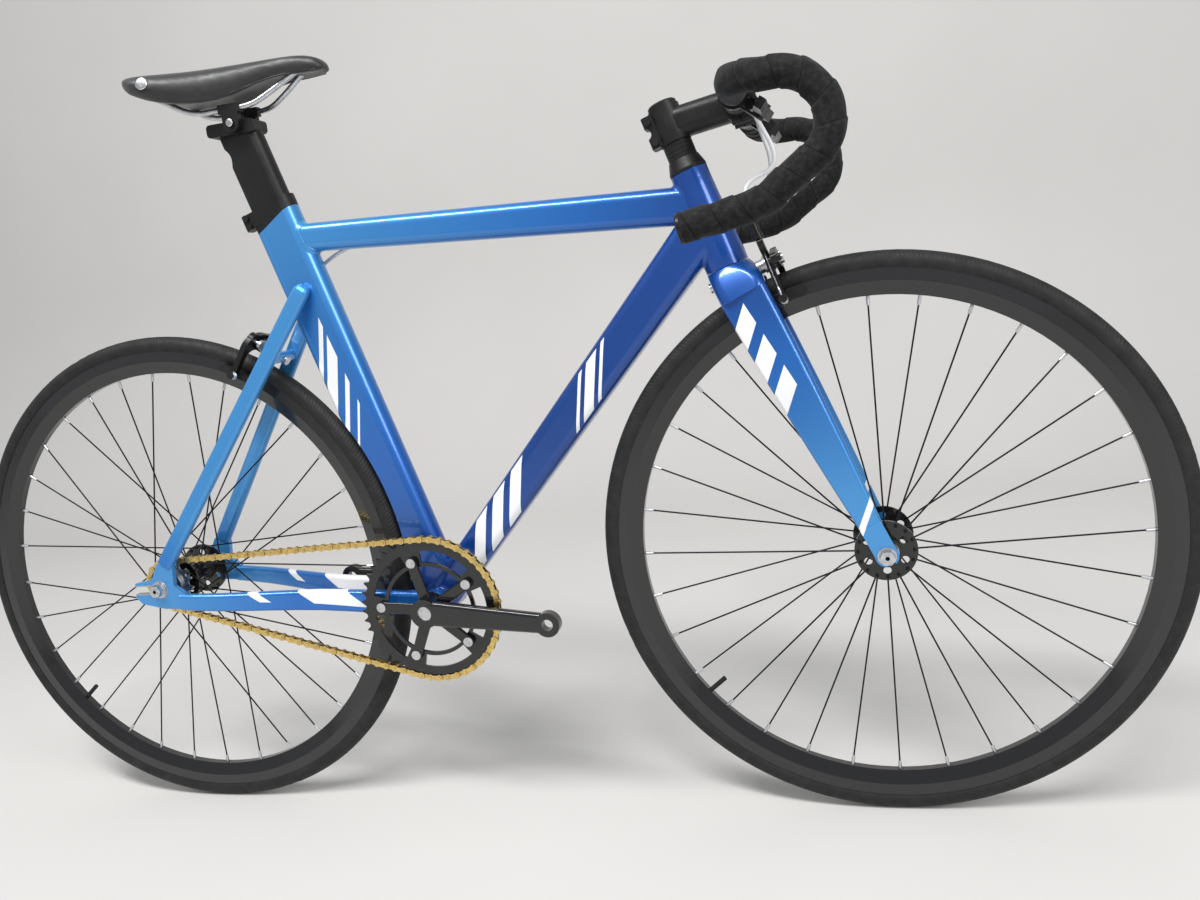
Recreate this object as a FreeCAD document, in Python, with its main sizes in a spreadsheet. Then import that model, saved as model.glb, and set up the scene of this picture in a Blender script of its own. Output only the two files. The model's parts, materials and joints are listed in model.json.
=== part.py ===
import FreeCAD, Part
import math
import os
import re
from types import SimpleNamespace

import Sketcher
from FreeCAD import Matrix, Placement, Rotation, Vector

# Fixed gear bike at its real size, in millimetres.
# X points forward, Y to the rider's left, Z up; the origin is on the ground, midway between the axles.

# Driving dimensions, grouped by the piece that carries them; angles are in degrees
SIZES = {
    # Layout of the frame
    "wheelbase": 946, "wheel_radius": 336, "bracket_drop": 48, "chainstay_length": 383,
    "seat_angle": 73.5, "head_angle": 73, "fork_rake": 47, "fork_room": 31.3,
    "fork_length": "=wheel_radius + fork_room",
    # Room and fits
    "overrun": 3, "weld_gap": 0.02, "slip_fit": 0.05, "running_fit": 0.1, "loose_fit": 0.3,
    "tyre_room": 5,
    # Head tube and headset
    "head_tube_length": 116, "head_tube_top_diameter": 44, "head_tube_foot_diameter": 51,
    "head_tube_bore": 35, "head_tube_lip": 12, "bearing_height": 7, "upper_bearing_diameter": 38.5,
    "lower_bearing_diameter": 43, "headset_gap": 0.6, "cover_height": 15, "cover_neck_diameter": 36,
    "cover_lip": 3, "spacer_diameter": 34, "spacer_height": 5, "spacer_count": 4, "spacer_groove": 0.3,
    # Top tube and down tube
    "top_tube_front_height": 44, "top_tube_rear_height": 35, "top_tube_front_width": 36,
    "top_tube_rear_width": 30, "top_tube_corner": 12, "top_tube_head_drop": 40, "top_tube_seat_level": 507,
    "tube_wall": 2, "down_tube_front_height": 54, "down_tube_rear_height": 43,
    "down_tube_front_width": 44, "down_tube_rear_width": 42, "down_tube_corner": 13,
    "down_tube_head_rise": 57, "crown_swing_radius": 46,
    # Seat tube, its clamp and the seatpost
    "seat_tube_depth": 66, "seat_tube_width": 34, "seat_tube_tail_radius": 8, "seat_tube_ahead": 2,
    "seat_tube_length": 532, "seat_tube_top_slant": 12, "seat_collar_length": 23, "seat_lug_length": 11,
    "seat_lug_width": 15, "seat_lug_height": 20, "seat_bolt_radius": 2.5, "seat_bolt_head": 4.3,
    "seat_bolt_spacing": 11, "seatpost_depth": 57.6, "seatpost_width": 27, "seatpost_tail_radius": 6,
    "seatpost_insertion": 130, "seatpost_length": 233, "seatpost_head_ahead": 9, "seatpost_head_radius": 13,
    "seatpost_head_width": 30, "seatpost_head_rise": 22, "seatpost_notch_radius": 17.5,
    "seatpost_notch_behind": 11, "shelf_length": 68, "shelf_height": 16, "shelf_corner": 5,
    "shelf_behind": 8, "shelf_drop": 4,
    # Bottom bracket
    "shell_width": 68, "shell_diameter": 42, "shell_bore": 34.8, "cup_flange": 2, "cup_flange_diameter": 40,
    "spindle_diameter": 17, "spindle_length": 107, "spindle_square": 12.7,
    # Chainstays, seatstays and track ends
    "rear_spacing": 120, "track_end_thickness": 7, "track_end_slot": 10.3,
    "chainstay_front_height": 33, "chainstay_rear_height": 22, "chainstay_width": 15,
    "chainstay_rear_width": 11, "chainstay_front_offset": 25, "chainstay_waist_offset": 29,
    "chainstay_corner": 5, "chainstay_axle_drop": 17, "chainstay_front_rise": 1,
    "seatstay_height": 22, "seatstay_width": 13, "seatstay_corner": 5.5, "seatstay_top_level": 434,
    "seatstay_top_offset": 21, "bridge_diameter": 15, "bridge_room": 17,
    "bridge_radius_place": "=wheel_radius + bridge_room",
    # Fork
    "crown_gap": 0.8, "crown_depth": 56, "crown_width": 82, "crown_top_diameter": 51,
    "crown_arch_width": 40, "crown_corner": 14, "blade_top_drop": 36, "blade_top_width": 19,
    "blade_tip_width": 11, "blade_top_offset": 31, "blade_tip_depth": 25, "blade_mid_depth": 48,
    "blade_tip_height": 30, "blade_tail_radius": 4, "front_spacing": 100, "fork_end_thickness": 7,
    "fork_end_radius": 13, "fork_end_slot": 9.3, "steerer_diameter": 28.6, "steerer_wall": 2,
    "brake_bolt_diameter": 6, "crown_bolt_drop": 15,
    # Stem, cap and handlebar
    "stem_length": 80, "stem_drop_angle": 8.4, "stem_clamp_height": 41, "stem_clamp_diameter": 37,
    "stem_body_height": 35, "stem_body_width": 33, "stem_body_corner": 12, "stem_lug_length": 9,
    "stem_lug_scallop": 6,
    "stem_lug_width": 24, "stem_bolt_radius": 2.5, "stem_bolt_head": 4.2, "stem_bolt_head_height": 4,
    "stem_bolt_spacing": 24, "bar_clamp_diameter": 42, "bar_clamp_width": 44, "faceplate_gap": 1.2,
    "faceplate_bolt_rise": 18.4, "faceplate_bolt_offset": 15, "cap_diameter": 34, "cap_height": 6,
    "cap_edge": 2, "bar_centre_diameter": 31.8, "bar_centre_width": 70, "bar_taper_end": 104,
    "bar_diameter": 23.8, "bar_wall": 2, "bar_width": 400, "bar_reach": 100, "bar_drop": 137,
    "tape_diameter": 32, "tape_start": 84,
    "plug_flange": 4, "plug_diameter": 30, "plug_depth": 18,
    # Levers on the bar tops
    "lever_offset": 71, "lever_clamp_width": 14, "lever_clamp_wall": 4.5, "lever_reach": 34,
    "lever_lean": 38, "lever_length": 80, "lever_root_height": 13, "lever_tip_height": 8,
    "lever_thickness": 11, "lever_inner_length": 15, "lever_pin_radius": 2.5, "lever_ear_thickness": 3,
    # Front and rear wheels
    "tyre_width": 25, "tyre_wall": 2.6, "tube_wall_thickness": 1, "rim_width": 20, "tyre_height": 19,
    "rim_depth": 30, "rim_edge_radius": "=wheel_radius - tyre_height",
    "rim_well_depth": 5.5, "rim_hook_wall": 1.7, "rim_track_height": 14,
    "rim_bed_radius": "=rim_edge_radius - rim_depth",
    "rim_bed_width": 9, "rim_wall": 1.6, "bead_height": 4.5, "bead_width": 2, "valve_radius": 3,
    "valve_length": 52, "valve_angle": 219.375, "spoke_radius": 1, "nipple_radius": 2, "nipple_length": 12,
    "nipple_head": 3.2, "nipple_hole": 2.6, "nipple_head_height": 2,
    "flange_radius": 35, "flange_thickness": 3, "spoke_circle": 31,
    "hub_barrel_radius": 12, "hub_boss_radius": 17, "hub_bearing_radius": 14, "hub_bearing_width": 8,
    "hub_core_radius": 7, "flange_window_radius": 4.6, "flange_window_circle": 23.5,
    "front_flange_offset": 34, "front_hub_half": 44, "rear_flange_offset": 31, "rear_hub_half": 52,
    "axle_radius": 4.5, "rear_axle_radius": 5, "axle_bore_radius": 2.5, "front_axle_length": 134,
    "rear_axle_length": 156, "nut_width": 15, "nut_height": 9, "washer_radius": 10.5,
    "washer_thickness": 1.6,
    # Drive
    "chain_pitch": 12.7, "roller_diameter": 7.75, "chain_inner_gap": 3.4, "chain_plate_thickness": 1,
    "chain_plate_height": 8.6, "chain_waist_height": 6, "chain_pin_radius": 1.8, "chain_pin_length": 8.6,
    "tooth_thickness": 2.9, "tooth_height": 2.2, "chainline": 44, "ring_teeth": 46, "cog_teeth": 16,
    "lockring_radius": 20, "lockring_width": 4,
    "ring_web_outer": 78, "ring_web_inner": 62.5, "ring_inner_radius": 57.5, "bolt_circle": 130,
    "ring_bolt_radius": 4.2, "ring_bolt_head": 6.2, "ring_bolt_head_height": 1.6,
    # Cranks
    "crank_length": 165, "crank_angle": -5.5, "crank_hub_radius": 19, "crank_hub_outer": 64,
    "crank_hub_inner": 41, "crank_root_height": 33, "crank_root_thickness": 13, "crank_tip_height": 25,
    "crank_tip_thickness": 12, "crank_tip_outer": 73, "crank_corner": 5, "crank_eye_radius": 15.5,
    "pedal_thread_radius": 7.1, "spider_arm_width": 16, "spider_tip_width": 14, "spider_thickness": 5,
    "crank_bolt_radius": 9.5, "crank_bolt_depth": 6,
    # Saddle and its clamp
    "saddle_nose_ahead": 131.5, "saddle_length": 278, "saddle_width": 142, "saddle_rise": 69.5,
    "saddle_depth": 50, "saddle_cover_thickness": 15, "saddle_skirt": 3, "rail_radius": 3.5,
    "rail_spread": 40,
    "rail_rise": 17.5, "rail_bend": 30, "clamp_length": 30, "clamp_jaw_height": 11, "clamp_jaw_width": 9,
    "clamp_bolt_radius": 3, "clamp_bolt_head": 5,
    # Brake calipers
    "caliper_front_reach": 50, "caliper_rear_reach": 33, "arm_span": 40, "arm_thickness": 7, "arm_gap": 0.6,
    "arm_outside": 30, "shoe_inset": 7.5,
    "shoe_radius_place": "=rim_edge_radius - shoe_inset", "shoe_gap": 2, "shoe_length": 52, "shoe_height": 9,
    "pad_depth": 5, "pad_corner": 3, "shoe_holder_depth": 4, "pivot_hub": 9.5, "side_pivot_offset": 17,
    "side_pivot_rise": 6, "side_pivot_radius": 2.5, "swing_gap": 1.2, "cable_offset": 37, "barrel_radius": 5,
    "barrel_length": 30, "barrel_boot_radius": 6.2, "bracket_plate": 4, "caliper_nut_radius": 6,
    "caliper_nut_height": 4, "caliper_spacer_radius": 8, "crown_front": 20, "crown_back": 24,
    "pad_bolt_radius": 2.5, "pad_bolt_head": 5, "pad_bolt_height": 4, "anchor_bolt_head": 4,
    # Brake cables
    "housing_radius": 2.5, "housing_lead": 34, "wire_radius": 0.8, "wire_tail": 30, "tail_cap_radius": 1.4,
    "tail_cap_length": 10,
}

doc = FreeCAD.newDocument("FixedGearBike")
sheet = doc.addObject("Spreadsheet::Sheet", "Sizes")
for row, (name, number) in enumerate(SIZES.items(), 1):
    sheet.set("A%d" % row, name)
    sheet.set("B%d" % row, str(number))
    sheet.setAlias("B%d" % row, name)
doc.recompute()
S = SimpleNamespace(**{name: float(getattr(sheet, name)) for name in SIZES})

LEFT = Vector(0, 1, 0)
UP = Vector(0, 0, 1)
AHEAD = Vector(1, 0, 0)
ORIGIN = Vector(0, 0, 0)
WORD = re.compile(r"[a-z_]+")
NODES = {}


# Helpers for sketches, bodies and nodes
def bind(text):
    """Expression in which each named size points at its cell."""
    return WORD.sub(lambda m: "Sizes." + m.group() if m.group() in SIZES else m.group(), text)


def value(text):
    return float(sheet.evalExpression(bind(text)))


def node(name, piece):
    """Make a finished object a sub-part under its own name."""
    piece.Label = name
    NODES[name] = piece
    return piece


def feature(name, shape, placement=None):
    piece = doc.addObject("Part::Feature", name)
    piece.Shape = shape
    if placement:
        piece.Placement = placement
    return piece


def group(name, pieces):
    piece = doc.addObject("Part::Compound", name)
    piece.Links = pieces
    return piece


def cut(name, base, tool):
    piece = doc.addObject("Part::Cut", name)
    piece.Base = base
    piece.Tool = tool
    return piece


def mirrored(name, source):
    piece = doc.addObject("Part::Mirroring", name)
    piece.Source = source
    piece.Normal = LEFT
    piece.Base = ORIGIN
    return piece


def cylinder(name, radius, height, placement):
    piece = doc.addObject("Part::Cylinder", name)
    piece.setExpression("Radius", bind(radius))
    piece.setExpression("Height", bind(height))
    piece.Placement = placement
    return piece


def draw(body, plane_role, loops):
    """Sketch of closed loops; a point is (x, y), or (x, y, radius, side) where an arc starts from it."""
    sketch = body.newObject("Sketcher::SketchObject", body.Name + "Outline")
    plane = next(f for f in body.Origin.OriginFeatures if f.Role == plane_role)
    sketch.AttachmentSupport = (plane, [""])
    sketch.MapMode = "FlatFace"
    for loop in loops:
        places = [Vector(value(point[0]), value(point[1]), 0) for point in loop]
        ends = []
        for k, point in enumerate(loop):
            here, there = places[k], places[(k + 1) % len(loop)]
            if len(point) == 2:
                ends.append((sketch.addGeometry(Part.LineSegment(here, there)), 1, 2))
                continue
            radius, side = value(point[2]), point[3]
            chord = there - here
            across = Vector(-chord.y, chord.x, 0).normalize() * side
            centre = (here + there) * 0.5 + across * math.sqrt(radius ** 2 - chord.Length ** 2 / 4)
            first, last = (here, there) if side > 0 else (there, here)
            angles = [math.atan2(p.y - centre.y, p.x - centre.x) for p in (first, last)]
            circle = Part.Circle(centre, UP, radius)
            index = sketch.addGeometry(Part.ArcOfCircle(circle, angles[0], angles[1]))
            ends.append((index, 1, 2) if side > 0 else (index, 2, 1))
            rule = sketch.addConstraint(Sketcher.Constraint("Radius", index, radius))
            sketch.setExpression("Constraints[%d]" % rule, bind(point[2]))
        for k, (index, start, end) in enumerate(ends):
            following = ends[(k + 1) % len(ends)]
            sketch.addConstraint(Sketcher.Constraint("Coincident", index, end, following[0], following[1]))
            for kind, text, number in (("DistanceX", loop[k][0], places[k].x),
                                       ("DistanceY", loop[k][1], places[k].y)):
                rule = sketch.addConstraint(Sketcher.Constraint(kind, -1, 1, index, start, number))
                sketch.setExpression("Constraints[%d]" % rule, bind(text))
    return sketch


def turned(name, loops, plane_role="XZ_Plane", placement=None):
    """Body turned about the upright axis of its sketch."""
    body = doc.addObject("PartDesign::Body", name)
    sketch = draw(body, plane_role, loops)
    turn = body.newObject("PartDesign::Revolution", name + "Turn")
    turn.Profile = sketch
    turn.ReferenceAxis = (sketch, ["V_Axis"])
    turn.Angle = 360
    body.Tip = turn
    if placement:
        body.Placement = placement
    return body


def plate(name, loops, thickness, plane_role="XY_Plane", placement=None):
    """Body of even thickness, half of it on each side of its sketch."""
    body = doc.addObject("PartDesign::Body", name)
    sketch = draw(body, plane_role, loops)
    pad = body.newObject("PartDesign::Pad", name + "Pad")
    pad.Profile = sketch
    pad.setExpression("Length", bind(thickness))
    pad.Midplane = True
    body.Tip = pad
    if placement:
        body.Placement = placement
    return body


def both_sides(points):
    """Half a turned outline and its mirror image."""
    return points + [(x, "-(%s)" % y) for x, y in reversed(points)]


# Helpers for tubes, lofts and sweeps
def line(start, end):
    return Part.LineSegment(start, end).toShape()


def rounded_wire(centre, high, wide, height, width, corner):
    """Rounded rectangle about centre, with its height along high and its width along wide."""
    x, y, inset = height / 2, width / 2, corner * (1 - math.sqrt(0.5))
    at = lambda a, b: centre + high * a + wide * b
    bends = []
    for p, q in ((1, 1), (-1, 1), (-1, -1), (1, -1)):
        ends = [at(p * x, q * (y - corner)), at(p * (x - corner), q * y)]
        if p * q < 0:
            ends.reverse()
        bends.append((ends[0], at(p * (x - inset), q * (y - inset)), ends[1]))
    edges = []
    for k, (first, middle, last) in enumerate(bends):
        edges.append(Part.Arc(first, middle, last).toShape())
        edges.append(line(last, bends[(k + 1) % len(bends)][0]))
    return Part.Wire(edges)


def teardrop_wire(centre, ahead, wide, depth, width, tail_radius):
    """Aero section about centre: a round nose along ahead, drawn in to a smaller round tail."""
    nose_radius = width / 2
    nose = centre + ahead * (depth / 2 - nose_radius)
    tail = centre - ahead * (depth / 2 - tail_radius)
    lean = math.asin((nose_radius - tail_radius) / (nose - tail).Length)
    turn = lambda angle: ahead * math.cos(angle) + wide * math.sin(angle)
    spot = lambda hub, radius, angle: hub + turn(angle) * radius
    flank = math.pi / 2 - lean
    turns = [(nose, nose_radius, -flank, 0), (nose, nose_radius, 0, flank),
             (tail, tail_radius, flank, math.pi), (tail, tail_radius, math.pi, 2 * math.pi - flank)]
    edges = []
    for hub, radius, first, last in turns:
        arc = Part.Arc(*(spot(hub, radius, angle) for angle in (first, (first + last) / 2, last)))
        edges.append(arc.toShape())
    edges.insert(2, line(spot(nose, nose_radius, flank), spot(tail, tail_radius, flank)))
    edges.append(line(spot(tail, tail_radius, -flank), spot(nose, nose_radius, -flank)))
    return Part.Wire(edges)


def loft(wires, ruled=False):
    return Part.makeLoft(wires, True, ruled)


def rounded_path(points, radii):
    """Straight runs through points, with a tangent arc of the given radius at each inner point."""
    edges, start = [], points[0]
    for k, radius in enumerate(radii, 1):
        back = (points[k - 1] - points[k]).normalize()
        onward = (points[k + 1] - points[k]).normalize()
        half = back.getAngle(onward) / 2
        middle = (back + onward).normalize()
        first = points[k] + back * (radius / math.tan(half))
        last = points[k] + onward * (radius / math.tan(half))
        crest = points[k] + middle * (radius / math.sin(half) - radius)
        edges.append(line(start, first))
        edges.append(Part.Arc(first, crest, last).toShape())
        start = last
    edges.append(line(start, points[-1]))
    return Part.Wire(edges)


def widest_radii(points):
    """Largest bend radius that each inner point's two runs allow."""
    radii = []
    for before, here, after in zip(points, points[1:], points[2:]):
        turn = (here - before).getAngle(after - here)
        run = min((here - before).Length, (after - here).Length)
        radii.append(RUN_SHARE * run / math.tan(turn / 2))
    return radii


RUN_SHARE = 0.45


def tube(path, radius):
    """Round bar of even radius along a path of runs and arcs."""
    first = path.OrderedEdges[0]
    start = first.valueAt(first.FirstParameter)
    if (start - path.OrderedVertexes[0].Point).Length > S.weld_gap:
        start = first.valueAt(first.LastParameter)
    heading = (path.OrderedVertexes[1].Point - path.OrderedVertexes[0].Point).normalize()
    ring = Part.Wire(Part.makeCircle(radius, start, heading))
    bar = path.makePipeShell([ring], True, False)
    wanted = math.pi * radius ** 2 * path.Length
    if abs(bar.Volume - wanted) > wanted * VOLUME_SHARE:
        raise ValueError("swept tube has the wrong volume")
    return bar


VOLUME_SHARE = 0.02


def bar_between(start, end, radius):
    return Part.makeCylinder(radius, (end - start).Length, start, end - start)


def frame_at(origin, across, high, inward):
    """Placement with its own three axes."""
    return Placement(Matrix(across.x, high.x, inward.x, origin.x, across.y, high.y, inward.y, origin.y,
                            across.z, high.z, inward.z, origin.z, 0, 0, 0, 1))


# Skeleton: axles, chain loop, bracket and the two tube axes
REAR = Vector(-S.wheelbase / 2, 0, S.wheel_radius)
FRONT = Vector(S.wheelbase / 2, 0, S.wheel_radius)


def pitch_radius(teeth):
    return S.chain_pitch / (2 * math.sin(math.pi / teeth))


RING_RADIUS = pitch_radius(S.ring_teeth)
COG_RADIUS = pitch_radius(S.cog_teeth)


def chain_lean(distance):
    return math.asin((RING_RADIUS - COG_RADIUS) / distance)


def loop_links(distance):
    """Chain pitches round both sprockets when their centres are this far apart."""
    lean = chain_lean(distance)
    runs = 2 * distance * math.cos(lean) / S.chain_pitch
    return runs + S.ring_teeth * (0.5 + lean / math.pi) + S.cog_teeth * (0.5 - lean / math.pi)


# The axle sits in its slot where a whole, even number of links closes the chain
LINKS = 2 * round(loop_links(S.chainstay_length) / 2)
CENTRES = S.chainstay_length
for _ in range(20):
    CENTRES += (LINKS - loop_links(CENTRES)) * S.chain_pitch / 2
BRACKET = REAR + Vector(math.sqrt(CENTRES ** 2 - S.bracket_drop ** 2), 0, -S.bracket_drop)

HEAD = math.radians(S.head_angle)
STEER_UP = Vector(-math.cos(HEAD), 0, math.sin(HEAD))
STEER_AHEAD = Vector(math.sin(HEAD), 0, math.cos(HEAD))
STEER_FOOT = FRONT - STEER_AHEAD * S.fork_rake
SEAT = math.radians(S.seat_angle)
SEAT_UP = Vector(-math.cos(SEAT), 0, math.sin(SEAT))
SEAT_AHEAD = Vector(math.sin(SEAT), 0, math.cos(SEAT))


def steer(up, ahead=0, left=0):
    """Point measured from the foot of the steering axis."""
    return STEER_FOOT + STEER_UP * up + STEER_AHEAD * ahead + LEFT * left


def seat(up, ahead=0, left=0):
    """Point measured along the seat tube from the bracket."""
    return BRACKET + SEAT_UP * up + SEAT_AHEAD * ahead + LEFT * left


def on_steerer(up):
    return Placement(steer(up), Rotation(LEFT, S.head_angle - 90))


def wheel_at(centre):
    return Placement(centre, Rotation())


def along_y(centre, offset):
    """Placement of a cylinder that runs to the left from the given offset."""
    return Placement(centre + LEFT * offset, Rotation(AHEAD, -90))


def wheel_room(centre, radius, width):
    """Solid disc that stands for a wheel and its clearance."""
    return Part.makeCylinder(radius, width, centre - LEFT * (width / 2), LEFT)


REAR_ROOM = wheel_room(REAR, S.wheel_radius + S.tyre_room, S.shell_width)
HEAD_TOP = S.fork_length + S.head_tube_length


# Head tube and headset bearings
def head_tube():
    foot, top = "head_tube_foot_diameter / 2", "head_tube_top_diameter / 2"
    low, high = "lower_bearing_diameter / 2", "upper_bearing_diameter / 2"
    outline = [(foot, "0"), (foot, "head_tube_lip"), (top, "head_tube_length - head_tube_lip"),
               (top, "head_tube_length"), (high, "head_tube_length"),
               (high, "head_tube_length - bearing_height"),
               ("head_tube_bore / 2", "head_tube_length - bearing_height"),
               ("head_tube_bore / 2", "bearing_height"), (low, "bearing_height"), (low, "0")]
    return node("head_tube", turned("HeadTube", [outline], placement=on_steerer(S.fork_length)))


def headset_bearings():
    rings = []
    for name, diameter, place in (("LowerBearing", "lower_bearing_diameter", S.fork_length),
                                  ("UpperBearing", "upper_bearing_diameter", HEAD_TOP - S.bearing_height)):
        inner, outer = "steerer_diameter / 2 + running_fit", diameter + " / 2 - slip_fit"
        outline = [(inner, "slip_fit"), (outer, "slip_fit"), (outer, "bearing_height - slip_fit"),
                   (inner, "bearing_height - slip_fit")]
        rings.append(turned(name, [outline], placement=on_steerer(place)))
    return node("headset_bearings", group("HeadsetBearings", rings))


HEAD_CORE = loft([Part.Wire(Part.makeCircle(S.head_tube_foot_diameter / 2 + S.weld_gap,
                                            steer(S.fork_length), STEER_UP)),
                  Part.Wire(Part.makeCircle(S.head_tube_foot_diameter / 2 + S.weld_gap,
                                            steer(S.fork_length + S.head_tube_lip), STEER_UP)),
                  Part.Wire(Part.makeCircle(S.head_tube_top_diameter / 2 + S.weld_gap,
                                            steer(HEAD_TOP - S.head_tube_lip), STEER_UP)),
                  Part.Wire(Part.makeCircle(S.head_tube_top_diameter / 2 + S.weld_gap, steer(HEAD_TOP),
                                            STEER_UP))],
                 ruled=True)


# Seat tube, an aero section cut out for the tyre
def seat_section(up, depth, width, tail, ahead):
    return teardrop_wire(seat(up, ahead), SEAT_AHEAD, LEFT, depth, width, tail)


def seat_prism(start, length, depth, width, tail, ahead):
    return Part.Face(seat_section(start, depth, width, tail, ahead)).extrude(SEAT_UP * length)


POST_AHEAD = S.seat_tube_ahead
POST_GROWTH = 2 * S.loose_fit
SEAT_CORE = seat_prism(0, S.seat_tube_length + S.seat_tube_depth, S.seat_tube_depth, S.seat_tube_width,
                       S.seat_tube_tail_radius, S.seat_tube_ahead)
SLANT = math.radians(S.seat_tube_top_slant)
SLANT_UP = SEAT_UP * math.cos(SLANT) - SEAT_AHEAD * math.sin(SLANT)
SLANT_AHEAD = SEAT_AHEAD * math.cos(SLANT) + SEAT_UP * math.sin(SLANT)


def slant_block(gap):
    """Everything above the slanted top of the seat tube."""
    reach = S.seat_tube_depth
    corner = seat(S.seat_tube_length) + SLANT_UP * gap - SLANT_AHEAD * reach - LEFT * reach
    box = Part.makeBox(2 * reach, 2 * reach, 2 * reach)
    box.Placement = frame_at(corner, SLANT_AHEAD, LEFT, SLANT_UP)
    return box


SHELL_CORE = Part.makeCylinder(S.shell_diameter / 2 + S.weld_gap, S.shell_width,
                               BRACKET - LEFT * (S.shell_width / 2), LEFT)


def seat_bore(start, length):
    return seat_prism(start, length, S.seatpost_depth + POST_GROWTH, S.seatpost_width + POST_GROWTH,
                      S.seatpost_tail_radius + S.loose_fit, POST_AHEAD)


def seat_tube():
    solid = SEAT_CORE.cut([slant_block(0), SHELL_CORE, REAR_ROOM])
    hollow = seat_bore(S.shell_diameter / 2 + S.tube_wall, S.seat_tube_length + S.seat_tube_depth)
    hollow = hollow.cut(wheel_room(REAR, S.wheel_radius + S.tyre_room + S.tube_wall, S.shell_width))
    return node("seat_tube", feature("SeatTube", solid.cut(hollow)))


# Top tube and down tube, lofted and mitred to their neighbours
def hollow_tube(start, end, sizes, wide=LEFT):
    """Tapered tube with walls; sizes holds height, width and corner at each end."""
    heading = (end - start).normalize()
    high = heading.cross(wide).normalize()
    skins = []
    for wall in (0, S.tube_wall):
        wires = [rounded_wire(spot, high, wide, height - 2 * wall, width - 2 * wall, corner - wall)
                 for spot, (height, width, corner) in zip((start, end), sizes)]
        skins.append(loft(wires, ruled=True))
    return skins


def top_tube():
    start = seat(S.top_tube_seat_level)
    end = steer(HEAD_TOP - S.top_tube_head_drop)
    outer, inner = hollow_tube(start, end, (
        (S.top_tube_rear_height, S.top_tube_rear_width, S.top_tube_corner),
        (S.top_tube_front_height, S.top_tube_front_width, S.top_tube_corner)))
    entry = housing(REAR_ROUTE, S.housing_radius + S.loose_fit)
    shell = outer.cut([inner, HEAD_CORE, SEAT_CORE, entry])
    return node("top_tube", feature("TopTube", max(shell.Solids, key=lambda solid: solid.Volume)))


def down_tube(top):
    start, end = BRACKET, steer(S.fork_length + S.down_tube_head_rise)
    outer, inner = hollow_tube(start, end, (
        (S.down_tube_rear_height, S.down_tube_rear_width, S.down_tube_corner),
        (S.down_tube_front_height, S.down_tube_front_width, S.down_tube_corner)))
    crown_room = bar_between(steer(0), steer(S.fork_length), S.crown_swing_radius)
    shell = outer.cut([inner, HEAD_CORE, SHELL_CORE, SEAT_CORE, top.Shape, crown_room])
    return node("down_tube", feature("DownTube", max(shell.Solids, key=lambda solid: solid.Volume)))


# Bottom bracket shell and cartridge
def bottom_bracket():
    start = along_y(BRACKET, -S.shell_width / 2)
    outer = cylinder("ShellOuter", "shell_diameter / 2", "shell_width", start)
    inner = cylinder("ShellBore", "shell_bore / 2", "shell_width", start)
    node("bottom_bracket_shell", cut("BracketShell", outer, inner))
    bore, core = "spindle_diameter / 2 + running_fit", "shell_bore / 2 - slip_fit"
    half, flange = "shell_width / 2 + slip_fit", "shell_width / 2 + slip_fit + cup_flange"
    outline = both_sides([(core, half), ("cup_flange_diameter / 2", half),
                          ("cup_flange_diameter / 2", flange),
                          (bore, flange)])
    node("bottom_bracket_cartridge", turned("BracketCartridge", [outline], "XY_Plane", wheel_at(BRACKET)))


# Track ends: plates with a slot that opens to the rear, where the axle slides to tighten the chain
TRACK_END_SHARES = ((-3.8, 0.5), (0.85, 0.5), (0.85, -0.5), (-3.8, -0.5), (-3.9, -0.97), (-3.1, -1.85),
                    (0, -2.6), (2.6, -2.75), (3.6, -2.6), (3.6, -0.7), (2.2, 0.4), (2.5, 3.0), (1.5, 4.0),
                    (0.2, 3.4), (-1.0, 1.3), (-3.6, 0.95))
TRACK_END_OFFSET = (S.rear_spacing + S.track_end_thickness) / 2


def track_ends():
    outline = [tuple("%g * track_end_slot" % share for share in point) for point in TRACK_END_SHARES]
    place = wheel_at(REAR + LEFT * TRACK_END_OFFSET)
    left = plate("TrackEndLeft", [outline], "track_end_thickness", "XZ_Plane", place)
    doc.recompute()
    return node("track_ends", group("TrackEnds", [left, mirrored("TrackEndRight", left)]))


# Stays, from the bracket and the seat tube back to the track ends
CHAINSTAY_SHARES = (0.0, 0.33, 0.42, 0.51, 0.60, 0.69, 0.78, 0.87, 0.925)
CHAINSTAY_WAIST = 1
SEATSTAY_TIP_SHARES = ((0.35, 0.06, 0.94), (0.62, 0.2, 0.78), (0.8, 0.36, 0.55))
STAY_FOOT_SHARES = (1.4, 3.3)
STAY_FOOT = REAR + Vector(*(share * S.track_end_slot for share in (STAY_FOOT_SHARES[0], 0,
                                                                   STAY_FOOT_SHARES[1])))
STAY_TOP = seat(S.seatstay_top_level)
STAY_UP = (STAY_TOP - STAY_FOOT).normalize()
STAY_IN = Vector(STAY_UP.z, 0, -STAY_UP.x)


def bridge_place():
    """Share of the seatstay, from its foot, at which the bridge clears the tyre."""
    foot = STAY_FOOT - REAR
    half = foot.dot(STAY_UP)
    run = -half + math.sqrt(half ** 2 - foot.dot(foot) + S.bridge_radius_place ** 2)
    return run / (STAY_TOP - STAY_FOOT).Length


BRIDGE_SHARE = bridge_place()
BRIDGE = STAY_FOOT + (STAY_TOP - STAY_FOOT) * BRIDGE_SHARE


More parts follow.
